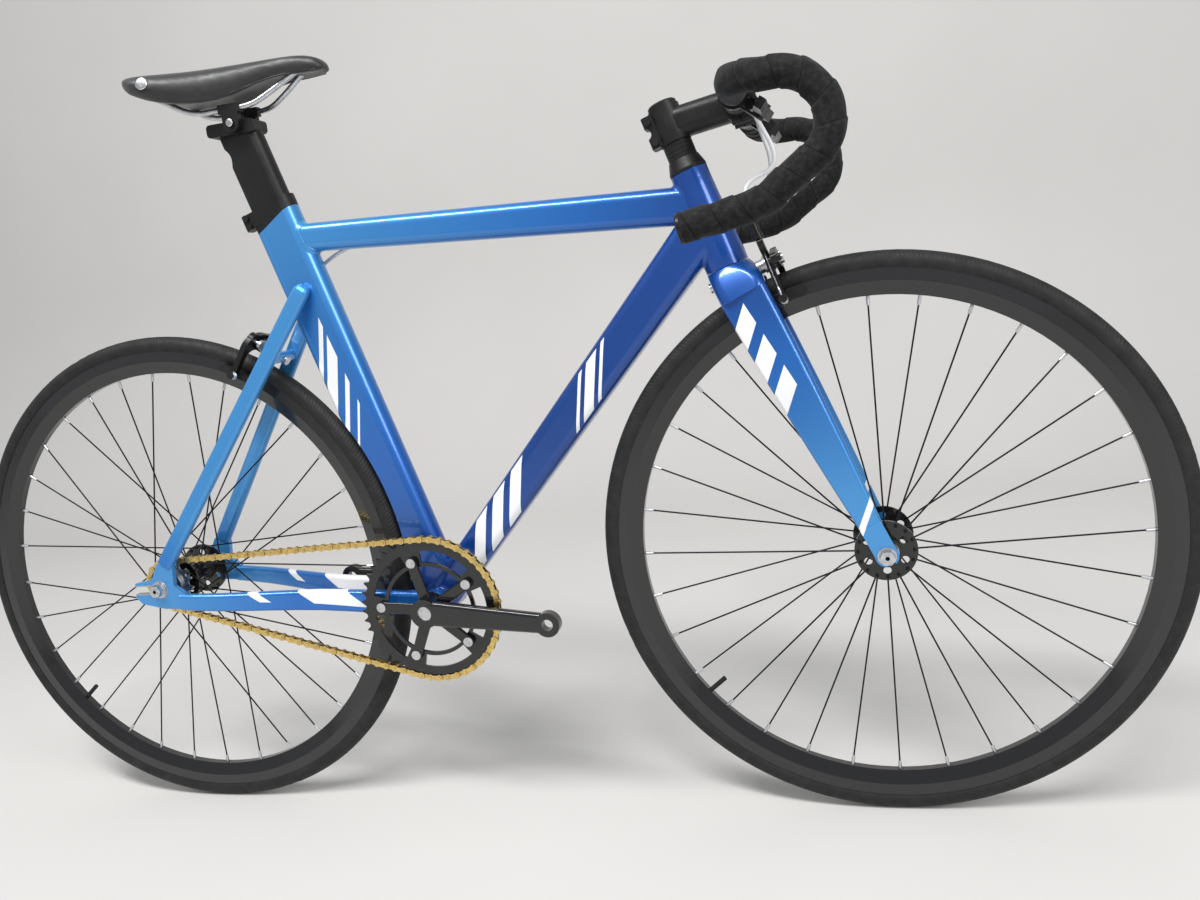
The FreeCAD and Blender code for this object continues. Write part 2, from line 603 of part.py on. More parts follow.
def chainstays(ends, down):
    back = REAR + Vector(0, 0, -S.chainstay_axle_drop)
    front = BRACKET + UP * S.chainstay_front_rise
    mean = lambda first, last, share: first + (last - first) * share
    waist = CHAINSTAY_SHARES[CHAINSTAY_WAIST]
    wires = []
    for share in CHAINSTAY_SHARES:
        offset = mean(S.chainstay_front_offset, S.chainstay_waist_offset, share / waist)
        if share > waist:
            turn = math.pi * (share - waist) / (CHAINSTAY_SHARES[-1] - waist)
            offset = mean(S.chainstay_waist_offset, TRACK_END_OFFSET, (1 - math.cos(turn)) / 2)
        wires.append(rounded_wire(front + (back - front) * share + LEFT * offset, UP, LEFT,
                                  mean(S.chainstay_front_height, S.chainstay_rear_height, share),
                                  mean(S.chainstay_width, S.chainstay_rear_width, share), S.chainstay_corner))
    stay = loft(wires, ruled=True).cut([SHELL_CORE, SEAT_CORE, ends.Shape, down.Shape])
    left = feature("ChainstayLeft", max(stay.Solids, key=lambda solid: solid.Volume))
    return node("chainstays", group("Chainstays", [left, mirrored("ChainstayRight", left)]))


def seatstays(ends):
    start = STAY_FOOT + LEFT * TRACK_END_OFFSET
    end = STAY_TOP + LEFT * S.seatstay_top_offset
    wires = [rounded_wire(spot, STAY_IN, LEFT, S.seatstay_height, S.seatstay_width, S.seatstay_corner)
             for spot in (start, end)]
    for ahead, inward, share in SEATSTAY_TIP_SHARES:
        wires.append(rounded_wire(end + STAY_UP * (ahead * S.seatstay_width) - LEFT * (inward * S.seatstay_width),
                                  STAY_IN, LEFT, share * S.seatstay_height, share * S.seatstay_width,
                                  share * S.seatstay_corner))
    stay = loft(wires, ruled=True).cut([SEAT_CORE, ends.Shape])
    stay = max(stay.Solids, key=lambda solid: solid.Volume)
    left = feature("SeatstayLeft", stay)
    right = mirrored("SeatstayRight", left)
    reach = start.y + (end.y - start.y) * BRIDGE_SHARE
    hole = bar_between(BRIDGE - STAY_IN * S.bridge_diameter, BRIDGE + STAY_IN * S.bridge_diameter,
                       S.brake_bolt_diameter / 2 + S.slip_fit)
    bridge = bar_between(BRIDGE - LEFT * reach, BRIDGE + LEFT * reach, S.bridge_diameter / 2)
    bridge = bridge.cut([stay, stay.mirror(ORIGIN, LEFT), hole])
    return node("seatstays", group("Seatstays", [left, right, feature("BrakeBridge", bridge)]))


# Seat clamp: a collar above the slanted tube end, with a lug and two bolts behind
def seat_clamp():
    top = S.seat_tube_length + S.seat_collar_length
    outer = SEAT_CORE.common(slant_block(S.slip_fit))
    lid = seat_prism(top, 2 * S.seat_tube_depth, 2 * S.seat_tube_depth, 2 * S.seat_tube_width,
                     S.seat_tube_width / 2, S.seat_tube_ahead)
    collar = outer.cut(lid)
    tail = S.seat_tube_ahead - S.seat_tube_depth / 2
    lug_low = top - S.seat_lug_height
    lug = Part.Face(rounded_wire(seat(lug_low, tail - S.seat_lug_length / 2 + S.seat_tube_tail_radius / 2),
                                 SEAT_AHEAD, LEFT, S.seat_lug_length + S.seat_tube_tail_radius,
                                 S.seat_lug_width,
                                 S.seat_bolt_radius)).extrude(SEAT_UP * S.seat_lug_height)
    collar = collar.fuse(lug.cut(SEAT_CORE.cut(slant_block(0)))).cut(seat_bore(0, 2 * top))
    bolts = []
    for side in (-1, 1):
        up = top - S.seat_lug_height / 2 + side * S.seat_bolt_spacing / 2
        axis = seat(up, tail - S.seat_lug_length / 2 + S.seat_bolt_radius / 2)
        start = axis - LEFT * (S.seat_lug_width / 2)
        shank = bar_between(start, axis + LEFT * (S.seat_lug_width / 2), S.seat_bolt_radius)
        head = bar_between(start - LEFT * S.seat_bolt_radius, start, S.seat_bolt_head)
        collar = collar.cut(bar_between(start, axis + LEFT * S.seat_lug_width,
                                        S.seat_bolt_radius + S.slip_fit))
        bolts.append(shank.fuse(head))
    slit = Part.makeBox(S.seat_lug_length * 2, S.headset_gap, S.seat_collar_length * 2)
    slit_tail = tail - S.seat_lug_length - S.seat_lug_length / 2
    slit_foot = seat(lug_low - S.seat_lug_height, slit_tail, -S.headset_gap / 2)
    slit.Placement = frame_at(slit_foot, SEAT_AHEAD, LEFT, SEAT_UP)
    solids = [max(collar.cut(slit).Solids, key=lambda solid: solid.Volume)] + bolts
    return node("seat_clamp", feature("SeatClamp", Part.makeCompound(solids)))


# Seatpost: the same aero section, notched behind under a shelf with a cross boss
SADDLE_PIVOT = seat(S.seat_tube_length - S.seatpost_insertion + S.seatpost_length + S.seatpost_head_rise,
                    S.seatpost_head_ahead)


def seatpost():
    foot = S.seat_tube_length - S.seatpost_insertion
    level = foot + S.seatpost_length + S.seatpost_head_rise
    post = seat_prism(foot, S.seatpost_length + S.seatpost_depth, S.seatpost_depth, S.seatpost_width,
                      S.seatpost_tail_radius, POST_AHEAD)
    reach = 2 * S.seatpost_depth
    lid = Part.makeBox(2 * reach, 2 * reach, reach, SADDLE_PIVOT - AHEAD * reach - LEFT * reach)
    half = LEFT * (S.seatpost_head_width / 2)
    middle = SADDLE_PIVOT - AHEAD * S.shelf_behind - UP * S.shelf_drop
    shelf = Part.Face(rounded_wire(middle - half, AHEAD, UP, S.shelf_length, S.shelf_height, S.shelf_corner))
    notch_drop = S.shelf_drop + S.shelf_height / 2 + S.seatpost_notch_radius
    notch_centre = seat(level - notch_drop, POST_AHEAD - S.seatpost_depth / 2 - S.seatpost_notch_behind)
    notch = bar_between(notch_centre - LEFT * S.seatpost_width, notch_centre + LEFT * S.seatpost_width,
                        S.seatpost_notch_radius)
    head = bar_between(SADDLE_PIVOT - half, SADDLE_PIVOT + half, S.seatpost_head_radius)
    bolt_hole = bar_between(SADDLE_PIVOT - half, SADDLE_PIVOT + half, S.clamp_bolt_radius + S.running_fit)
    whole = post.cut([lid, notch]).fuse([shelf.extrude(half * 2), head]).cut(bolt_hole)
    return node("seatpost", feature("Seatpost", max(whole.Solids, key=lambda solid: solid.Volume)))


# Fork: crown with steerer, then two straight aero blades with slotted ends
BLADE_LEAD_SHARE = 0.94
BLADE_MID_SHARE = 0.68
CROWN_WAIST_SHARE = 0.45
TAB_SHARE = 1.3
CROWN_TOP = S.fork_length - S.crown_gap
BLADE_TOP = CROWN_TOP - S.blade_top_drop
STEM_FOOT = HEAD_TOP + S.headset_gap + S.cover_height + S.spacer_count * S.spacer_height
FORK_END_OFFSET = (S.front_spacing + S.fork_end_thickness) / 2


def blade_ahead(up):
    """How far the blade's middle lies ahead of the steering axis."""
    return S.fork_rake * (1 - BLADE_LEAD_SHARE * up / CROWN_TOP)


BLADE_DOWN = (steer(0, blade_ahead(0)) - steer(CROWN_TOP, blade_ahead(CROWN_TOP))).normalize()
BLADE_AHEAD = Vector(-BLADE_DOWN.z, 0, BLADE_DOWN.x)


def fork_crown():
    waist = CROWN_TOP - S.blade_top_drop * CROWN_WAIST_SHARE
    round_top = S.crown_top_diameter
    wires = [rounded_wire(steer(CROWN_TOP), STEER_AHEAD, LEFT, round_top, round_top,
                          round_top / 2 - S.slip_fit),
             rounded_wire(steer(waist, blade_ahead(waist)), STEER_AHEAD, LEFT, S.crown_depth - S.slip_fit,
                          S.crown_width - S.crown_corner, S.crown_corner),
             rounded_wire(steer(BLADE_TOP, blade_ahead(BLADE_TOP)), BLADE_AHEAD, LEFT, S.crown_depth,
                          S.crown_width,
                          S.crown_corner)]
    crown = loft(wires)
    arch = wheel_room(FRONT, S.wheel_radius + S.tyre_room, S.crown_arch_width)
    top = STEM_FOOT + S.stem_clamp_height - S.cap_edge
    steerer = bar_between(steer(waist), steer(top), S.steerer_diameter / 2)
    hollow = bar_between(steer(CROWN_TOP), steer(top + S.overrun), S.steerer_diameter / 2 - S.steerer_wall)
    up = CROWN_TOP - S.crown_bolt_drop
    hole = bar_between(steer(up, -S.crown_depth), steer(up, S.crown_depth),
                       S.brake_bolt_diameter / 2 + S.slip_fit)
    return node("fork_crown", feature("ForkCrown", crown.fuse(steerer).cut([arch, hollow, hole])))


def fork_blades(crown):
    offset = lambda up: FORK_END_OFFSET + (S.blade_top_offset - FORK_END_OFFSET) * up / BLADE_TOP
    middle = BLADE_TOP * BLADE_MID_SHARE
    stations = ((BLADE_TOP, S.crown_depth, S.blade_top_width),
                (middle, S.blade_mid_depth, (S.blade_top_width + S.blade_tip_width) / 2),
                (S.blade_tip_height, S.blade_tip_depth, S.blade_tip_width))
    wires = [teardrop_wire(steer(up, blade_ahead(up), offset(up)), BLADE_AHEAD, LEFT, depth, width,
                           S.blade_tail_radius) for up, depth, width in stations]
    inner = FRONT + LEFT * (S.front_spacing / 2)
    eye = Part.makeCylinder(S.fork_end_radius, S.fork_end_thickness, inner, LEFT)

    def strip(low, high, half, start, depth):
        """Flat bar along the blade, measured up from the axle."""
        corners = [inner + LEFT * start - BLADE_DOWN * up + BLADE_AHEAD * ahead
                   for up, ahead in ((low, -half), (high, -half), (high, half), (low, half))]
        return Part.Face(Part.makePolygon(corners + corners[:1])).extrude(LEFT * depth)

    tab = strip(0, S.blade_tip_height * TAB_SHARE, S.blade_tip_depth / 2, 0, S.fork_end_thickness)
    slot = strip(-2 * S.fork_end_radius, 0, S.fork_end_slot / 2, -S.overrun,
                 S.fork_end_thickness + 2 * S.overrun)
    round_end = Part.makeCylinder(S.fork_end_slot / 2, 2 * S.fork_end_thickness, inner - LEFT * S.overrun,
                                  LEFT)
    blade = loft(wires).fuse([eye, tab]).cut([slot, round_end, crown.Shape])
    left = feature("ForkBladeLeft", max(blade.Solids, key=lambda solid: solid.Volume))
    return node("fork_blades", group("ForkBlades", [left, mirrored("ForkBladeRight", left)]))


# Headset cover with spacers, stem and top cap
def headset_cover():
    bore, rim = "steerer_diameter / 2 + slip_fit", "head_tube_top_diameter / 2"
    cone = [(bore, "0"), (rim, "0"), (rim, "cover_lip"), ("cover_neck_diameter / 2", "cover_height"),
            (bore, "cover_height")]
    base = HEAD_TOP + S.headset_gap
    pieces = [turned("HeadsetCover", [cone], placement=on_steerer(base))]
    ring = [(bore, "0"), ("spacer_diameter / 2 - spacer_groove", "0"),
            ("spacer_diameter / 2", "spacer_groove"),
            ("spacer_diameter / 2", "spacer_height - spacer_groove"),
            ("spacer_diameter / 2 - spacer_groove", "spacer_height - slip_fit"),
            (bore, "spacer_height - slip_fit")]
    for k in range(int(S.spacer_count)):
        height = base + S.cover_height + S.slip_fit / 2 + k * S.spacer_height
        pieces.append(turned("Spacer%d" % k, [ring], placement=on_steerer(height)))
    return node("headset_cover", group("HeadsetStack", pieces))


DROP = math.radians(S.stem_drop_angle)
STEM_AHEAD = STEER_AHEAD * math.cos(DROP) - STEER_UP * math.sin(DROP)
STEM_HIGH = STEER_UP * math.cos(DROP) + STEER_AHEAD * math.sin(DROP)
STEM_ROOT = steer(STEM_FOOT + S.stem_clamp_height / 2)
BAR = STEM_ROOT + STEM_AHEAD * S.stem_length
FACEPLATE_SPOTS = [BAR + STEM_HIGH * (p * S.faceplate_bolt_rise) + LEFT * (q * S.faceplate_bolt_offset)
                   for p in (-1, 1) for q in (-1, 1)]
PINCH_SPOTS = [steer(STEM_FOOT + S.stem_clamp_height / 2 + side * S.stem_bolt_spacing / 2,
                     -S.stem_clamp_diameter / 2 - S.stem_bolt_head / 2) for side in (-1, 1)]


def half_space(ahead):
    """Everything in front of a plane across the stem, measured from the bar."""
    reach = S.bar_clamp_width * 2
    box = Part.makeBox(reach, 2 * reach, 2 * reach)
    box.Placement = frame_at(BAR + STEM_AHEAD * ahead - LEFT * reach - STEM_HIGH * reach, STEM_AHEAD, LEFT,
                             STEM_HIGH)
    return box


def bar_clamp():
    """Round clamp about the bar with a boss for each faceplate bolt, not yet split."""
    half = LEFT * (S.bar_clamp_width / 2)
    boss_reach = STEM_AHEAD * (S.bar_clamp_diameter / 4)
    bosses = [bar_between(spot - boss_reach, spot + boss_reach, S.stem_bolt_head + S.faceplate_gap)
              for spot in FACEPLATE_SPOTS]
    ring = bar_between(BAR - half, BAR + half, S.bar_clamp_diameter / 2).fuse(bosses)
    holes = [bar_between(spot - boss_reach * 2, spot + boss_reach * 2, S.stem_bolt_radius + S.slip_fit)
             for spot in FACEPLATE_SPOTS]
    bore = bar_between(BAR - half * 2, BAR + half * 2, S.bar_centre_diameter / 2 + S.slip_fit)
    recesses = [bar_between(spot + boss_reach, spot + boss_reach * 2, S.stem_bolt_head + S.slip_fit)
                for spot in FACEPLATE_SPOTS]
    return ring, [bore] + holes + recesses


def stem():
    clamp = bar_between(steer(STEM_FOOT + S.slip_fit), steer(STEM_FOOT + S.stem_clamp_height),
                        S.stem_clamp_diameter / 2)
    body = loft([rounded_wire(STEM_ROOT + STEM_AHEAD * run, STEM_HIGH, LEFT, S.stem_body_height,
                              S.stem_body_width,
                              S.stem_body_corner) for run in (0, S.stem_length - S.faceplate_gap)],
                              ruled=True)
    lug_depth = S.stem_clamp_diameter / 2 + S.stem_lug_length
    lug = Part.Face(rounded_wire(steer(STEM_FOOT + S.cap_edge, -lug_depth / 2), STEER_AHEAD, LEFT, lug_depth,
                                 S.stem_lug_width, S.stem_bolt_head)).extrude(
                                     STEER_UP * (S.stem_clamp_height - 2 * S.cap_edge))
    waist = steer(STEM_FOOT + S.stem_clamp_height / 2, -lug_depth)
    scallop = bar_between(waist - LEFT * S.stem_lug_width, waist + LEFT * S.stem_lug_width, S.stem_lug_scallop)
    ring, voids = bar_clamp()
    bore = bar_between(steer(STEM_FOOT - S.overrun), steer(STEM_FOOT + S.stem_clamp_height + S.overrun),
                       S.steerer_diameter / 2 + S.slip_fit)
    slit = Part.makeBox(lug_depth * 2, S.faceplate_gap, S.stem_clamp_height * 2)
    slit.Placement = frame_at(steer(STEM_FOOT - S.cap_edge, -lug_depth * 2, -S.faceplate_gap / 2),
                              STEER_AHEAD, LEFT,
                              STEER_UP)
    pinch = [bar_between(spot - LEFT * S.stem_lug_width, spot + LEFT * S.stem_lug_width,
                         S.stem_bolt_radius + S.slip_fit) for spot in PINCH_SPOTS]
    whole = clamp.fuse([body, lug, ring]).cut(voids + pinch + [bore, slit, scallop, half_space(-S.faceplate_gap / 2)])
    return node("stem", feature("Stem", whole.removeSplitter()))


def stem_faceplate():
    ring, voids = bar_clamp()
    return node("stem_faceplate",
                feature("StemFaceplate", ring.common(half_space(S.faceplate_gap / 2)).cut(voids)))


def stem_bolts():
    bolts = []
    for spot in FACEPLATE_SPOTS:
        seat_face = spot + STEM_AHEAD * (S.bar_clamp_diameter / 4)
        shank = bar_between(spot - STEM_AHEAD * (S.bar_clamp_diameter / 4), seat_face, S.stem_bolt_radius)
        bolts.append(shank.fuse(bar_between(seat_face, seat_face + STEM_AHEAD * S.stem_bolt_head_height,
                                            S.stem_bolt_head)))
    for spot in PINCH_SPOTS:
        face = spot - LEFT * (S.stem_lug_width / 2)
        shank = bar_between(face, spot + LEFT * (S.stem_lug_width / 2), S.stem_bolt_radius)
        bolts.append(shank.fuse(bar_between(face - LEFT * S.stem_bolt_head_height, face, S.stem_bolt_head)))
    return node("stem_bolts", feature("StemBolts", Part.makeCompound(bolts)))


def top_cap():
    rim = "cap_diameter / 2"
    plug = "steerer_diameter / 2 - steerer_wall - slip_fit"
    outline = [("0", "slip_fit"), ("0", "cap_height"), (rim + " - cap_edge", "cap_height"),
               (rim, "cap_height - cap_edge"), (rim, "slip_fit"), (plug, "slip_fit"), (plug, "-(cap_height)"),
               ("0", "-(cap_height)")]
    return node("top_cap", turned("TopCap", [outline], placement=on_steerer(STEM_FOOT + S.stem_clamp_height)))


# Drop handlebar with tape and plugs; each bend is a share of the reach and the drop
BAR_SHARES = ((0.08, -0.058), (1.0, -0.10), (0.94, -0.57), (0.28, -0.912), (-0.475, -1.0))
BAR_BEND_SHARES = (1.5, 0.3, 0.33, 0.22, 0.58)


def bar_points(side):
    """Bar's middle line from its clamped centre out to one end; side is -1 on the right."""
    points = [BAR + LEFT * (side * S.bar_taper_end / 2)]
    for ahead, up in BAR_SHARES:
        points.append(BAR + Vector(ahead * S.bar_reach, side * S.bar_width / 2, up * S.bar_drop))
    return points


def bar_spot(side, offset):
    """Point on the straight top of the bar at the given distance from the middle."""
    start, corner = bar_points(side)[:2]
    share = (offset - S.bar_taper_end / 2) / (S.bar_width / 2 - S.bar_taper_end / 2)
    return start + (corner - start) * share


BAR_RADII = [share * S.bar_drop for share in BAR_BEND_SHARES]


def handlebar():
    points = list(reversed(bar_points(-1))) + bar_points(1)
    path = rounded_path(points, list(reversed(BAR_RADII)) + BAR_RADII)
    skin = tube(path, S.bar_diameter / 2)
    hollow = tube(path, S.bar_diameter / 2 - S.bar_wall)
    half = S.bar_centre_width / 2
    centre = bar_between(BAR - LEFT * half, BAR + LEFT * half, S.bar_centre_diameter / 2)
    slope = S.bar_taper_end / 2 - half
    ends = [Part.makeCone(S.bar_centre_diameter / 2, (S.bar_diameter - S.bar_wall) / 2, slope,
                          BAR + LEFT * (side * half),
                          LEFT * side) for side in (-1, 1)]
    return node("handlebar", feature("Handlebar", skin.fuse([centre] + ends).cut(hollow)))


def bar_tape():
    sleeves = []
    for side in (-1, 1):
        points = [bar_spot(side, S.tape_start)] + bar_points(side)[1:]
        path = rounded_path(points, BAR_RADII[1:])
        sleeves.append(tube(path, S.tape_diameter / 2).cut(tube(path, S.bar_diameter / 2 + S.slip_fit)))
    return node("bar_tape", feature("BarTape", Part.makeCompound(sleeves)))


def bar_end_plugs():
    plugs = []
    for side in (-1, 1):
        before, end = bar_points(side)[-2:]
        out = (end - before).normalize()
        face = end + out * S.slip_fit
        flange = bar_between(face, face + out * S.plug_flange, S.plug_diameter / 2)
        edge = flange.makeFillet(S.cap_edge, [max(flange.Edges, key=lambda ring: ring.CenterOfMass.dot(out))])
        stub = bar_between(end - out * S.plug_depth, face + out * S.slip_fit,
                           S.bar_diameter / 2 - S.bar_wall - S.slip_fit)
        plugs.append(edge.fuse(stub))
    return node("bar_end_plugs", feature("BarEndPlugs", Part.makeCompound(plugs)))


# Levers on the bar tops: a clamp with two ears, and a blade that swings between them
LEAN = math.radians(S.lever_lean)
LEVER_OUT = Vector(math.cos(LEAN), 0, -math.sin(LEAN))
LEVER_SPOT = bar_spot(-1, S.lever_offset)
LEVER_ALONG = (bar_points(-1)[1] - bar_points(-1)[0]).normalize()
LEVER_FACE = (LEVER_OUT - LEVER_ALONG * LEVER_OUT.dot(LEVER_ALONG)).normalize()
LEVER_PIN = LEVER_ALONG.cross(LEVER_FACE)
LEVER_PLACE = frame_at(LEVER_SPOT, LEVER_ALONG, LEVER_FACE, LEVER_PIN)
STOP_REACH_SHARE = 0.6


def lever_at(along, face, pin=0):
    return LEVER_SPOT + LEVER_ALONG * along + LEVER_FACE * face + LEVER_PIN * pin


def lever_clamps():
    half = S.lever_clamp_width / 2
    bore = S.bar_diameter / 2 + S.slip_fit
    ring_radius = bore + S.lever_clamp_wall
    solid = bar_between(lever_at(-half, 0), lever_at(half, 0), ring_radius)
    ear_gap = S.lever_thickness / 2 + S.loose_fit
    for side in (-1, 1):
        low = ear_gap if side > 0 else -ear_gap - S.lever_ear_thickness
        ear = Part.makeBox(2 * half, S.lever_reach, S.lever_ear_thickness)
        ear.Placement = frame_at(lever_at(-half, 0, low), LEVER_ALONG, LEVER_FACE, LEVER_PIN)
        tip = bar_between(lever_at(0, S.lever_reach, low),
                          lever_at(0, S.lever_reach, low + S.lever_ear_thickness), half)
        solid = solid.fuse([ear, tip])
    stop_reach = S.lever_reach * STOP_REACH_SHARE
    stop = bar_between(lever_at(-2 * half, stop_reach), lever_at(0, stop_reach), ear_gap + S.slip_fit)
    pin_half = ear_gap + S.lever_ear_thickness
    pin = bar_between(lever_at(0, S.lever_reach, -pin_half), lever_at(0, S.lever_reach, pin_half),
                      S.lever_pin_radius)
    solid = solid.fuse([stop, pin]).cut(bar_between(lever_at(-3 * half, 0), lever_at(3 * half, 0), bore))
    right = feature("LeverClampRight", solid)
    return node("lever_clamps", group("LeverClamps", [right, mirrored("LeverClampLeft", right)]))


def brake_levers():
    root, tip = "lever_root_height / 2", "lever_tip_height / 2"
    outline = [("-(lever_inner_length)", "lever_reach - %s" % root),
               ("lever_root_height", "lever_reach - %s" % root),
               ("lever_length - %s" % tip, "lever_reach - %s" % tip, "lever_tip_height", 1),
               ("lever_length - %s" % tip, "lever_reach + %s" % tip),
               ("lever_root_height", "lever_reach + %s" % root),
               ("-(lever_inner_length) / 2", "lever_reach + lever_root_height"),
               ("-(lever_inner_length)", "lever_reach + %s" % root)]
    blade = plate("LeverBlade", [outline], "lever_thickness", "XY_Plane", LEVER_PLACE)
    pin_half = S.lever_thickness
    hole = feature("LeverHole", bar_between(lever_at(0, S.lever_reach, -pin_half),
                                            lever_at(0, S.lever_reach, pin_half),
                                            S.lever_pin_radius + S.running_fit))
    right = node("brake_lever_right", cut("LeverRight", blade, hole))
    node("brake_lever_left", mirrored("LeverLeft", right))


# Wheels: both share their rim, tyre, tube, lacing pattern and hub outline
SPOKES_PER_SIDE = 16
WINDOWS = 6
CROSSINGS = 3
HALF_STEP = 180 / SPOKES_PER_SIDE
ELBOW_SHARE = 1.5


def turned_to(shape, centre, degrees):
    """Copy of a shape turned forward about a wheel's axle."""
    copy = shape.copy()
    copy.rotate(centre, LEFT * -1, degrees)
    return copy


def polar(centre, radius, degrees, left=0):
    angle = math.radians(degrees)
    return centre + Vector(radius * math.cos(angle), left, radius * math.sin(angle))


def tyre(prefix, centre):
    middle, inner = "(wheel_radius - tyre_width / 2)", "(tyre_width / 2 - tyre_wall)"
    edge = "(rim_edge_radius + slip_fit)"
    flank = "sqrt((tyre_width / 2)^2 - (%s - %s)^2)" % (middle, edge)
    bead = "(rim_width / 2 - rim_hook_wall - slip_fit)"
    bead_in = "(rim_width / 2 - rim_hook_wall - slip_fit - bead_width)"
    foot, start = "rim_edge_radius - bead_height", "%s - sqrt(%s^2 - %s^2)" % (middle, inner, bead_in)
    minus = lambda text: "-(%s)" % text
    outline = [(edge, flank, "tyre_width / 2", -1), ("wheel_radius", "0", "tyre_width / 2", -1),
               (edge, minus(flank)),
               (edge, minus(bead)), (foot, minus(bead)), (foot, minus(bead_in)),
               (start, minus(bead_in), inner, 1),
               ("%s + %s" % (middle, inner), "0", inner, 1), (start, bead_in), (foot, bead_in), (foot, bead),
               (edge, bead)]
    return node(prefix + "_tyre", turned(prefix.title() + "Tyre", [outline], "XY_Plane", wheel_at(centre)))


def inner_tube(prefix, centre):
    middle = S.wheel_radius - S.tyre_width / 2
    radius = S.tyre_width / 2 - S.tyre_wall - S.loose_fit
    skin = Part.makeTorus(middle, radius, centre, LEFT)
    hollow = Part.makeTorus(middle, radius - S.tube_wall_thickness, centre, LEFT)
    foot = middle - radius + S.tube_wall_thickness / 2
    valve = bar_between(polar(centre, foot - S.valve_length, S.valve_angle),
                        polar(centre, foot, S.valve_angle),
                        S.valve_radius)
    return node(prefix + "_inner_tube", feature(prefix.title() + "InnerTube", skin.fuse(valve).cut(hollow)))


def rim(prefix, centre):
    edge, half, hook = "rim_edge_radius", "rim_width / 2", "(rim_width / 2 - rim_hook_wall)"
    well, track = "rim_edge_radius - rim_well_depth", "rim_edge_radius - rim_track_height"
    bed, bed_half = "rim_bed_radius", "rim_bed_width / 2"
    section = both_sides([(bed, bed_half), (track, half), (edge, half), (edge, hook), (well, hook)])
    cavity = both_sides([(bed + " + rim_wall", bed_half + " - rim_wall / 2"), (track, half + " - rim_wall"),
                         (well + " - rim_wall", half + " - rim_wall")])
    ring = turned(prefix.title() + "RimRing", [section, cavity], "XY_Plane", wheel_at(centre))
    drills = [bar_between(polar(centre, S.rim_bed_radius - S.overrun, k * HALF_STEP),
                          polar(centre, S.rim_bed_radius + S.overrun, k * HALF_STEP), S.nipple_hole)
              for k in range(2 * SPOKES_PER_SIDE)]
    drills.append(bar_between(polar(centre, S.rim_bed_radius - S.overrun, S.valve_angle),
                              polar(centre, S.rim_edge_radius, S.valve_angle),
                              S.valve_radius + S.running_fit))
    return node(prefix + "_rim", cut(prefix.title() + "Rim", ring,
                                     feature(prefix.title() + "RimDrills", Part.makeCompound(drills))))


def spoke(centre, side, offset, swing, head_out):
    """One spoke and its nipple; swing is the angle from its flange hole to its rim hole."""
    facing = side if head_out else -side
    flange = side * offset
    face = S.flange_thickness / 2
    bend = ELBOW_SHARE * S.spoke_radius
    head = polar(centre, S.spoke_circle, -swing, flange + facing * (face + S.slip_fit))
    lift = 0 if head_out else 2 * S.spoke_radius
    elbow = polar(centre, S.spoke_circle, -swing, flange - facing * (face + bend + S.loose_fit + lift))
    end = polar(centre, S.rim_bed_radius, 0)
    wire = tube(rounded_path([head, elbow, end], [bend]), S.spoke_radius)
    wire = wire.fuse(bar_between(head, head + LEFT * (facing * S.spoke_radius), 2 * S.spoke_radius))
    out = (end - elbow).normalize()
    seat_face = end + out * (S.rim_wall + 2 * S.loose_fit)
    nipple = bar_between(end - out * (S.nipple_length - S.rim_wall), seat_face, S.nipple_radius)
    nipple = nipple.fuse(bar_between(seat_face, seat_face + out * S.nipple_head_height, S.nipple_head))
    nipple = nipple.cut(bar_between(elbow, seat_face + out * S.nipple_length, S.spoke_radius + S.slip_fit))
    return [wire, nipple]


def spokes(prefix, centre, offset, crossed):
    solids = []
    for side in (-1, 1):
        shift = HALF_STEP if side > 0 else 0
        for lead in (1, -1):
            swing = lead * CROSSINGS * 2 * HALF_STEP if crossed else 0
            master = spoke(centre, side, offset, swing, lead > 0 or not crossed)
            for k in range(SPOKES_PER_SIDE // 2):
                degrees = shift + k * 4 * HALF_STEP + (2 * HALF_STEP if lead > 0 else 0)
                solids += [turned_to(piece, centre, degrees) for piece in master]
    return node(prefix + "_spokes", feature(prefix.title() + "Spokes", Part.makeCompound(solids)))


def hub(prefix, centre, offset, half, crossed):
    face_in, face_out = "%s - flange_thickness / 2" % offset, "%s + flange_thickness / 2" % offset
    outline = both_sides([("hub_barrel_radius", "%s - hub_barrel_radius" % offset),
                          ("hub_boss_radius", face_in),
                          ("flange_radius", face_in), ("flange_radius", face_out),
                          ("hub_boss_radius", face_out),
                          ("hub_boss_radius", half), ("hub_bearing_radius", half),
                          ("hub_bearing_radius", half + " - hub_bearing_width"),
                          ("hub_core_radius", half + " - hub_bearing_width")])
    shell = turned(prefix.title() + "HubShell", [outline], "XY_Plane", wheel_at(centre))
    drills = []
    reach = S.flange_thickness
    for side in (-1, 1):
        middle = side * value(offset)
        shift = HALF_STEP if side > 0 else 0
        places = [(S.spoke_circle, shift + k * 2 * HALF_STEP + (HALF_STEP * 2 * CROSSINGS if crossed else 0),
                   S.spoke_radius + S.loose_fit) for k in range(SPOKES_PER_SIDE)]
        places += [(S.flange_window_circle, (k + 0.5) * 360 / WINDOWS,
                    S.flange_window_radius) for k in range(WINDOWS)]
        for radius, degrees, drill in places:
            drills.append(bar_between(polar(centre, radius, degrees, middle - reach),
                                      polar(centre, radius, degrees, middle + reach), drill))
    return node(prefix + "_hub", cut(prefix.title() + "Hub", shell,
                                     feature(prefix.title() + "HubDrills", Part.makeCompound(drills))))


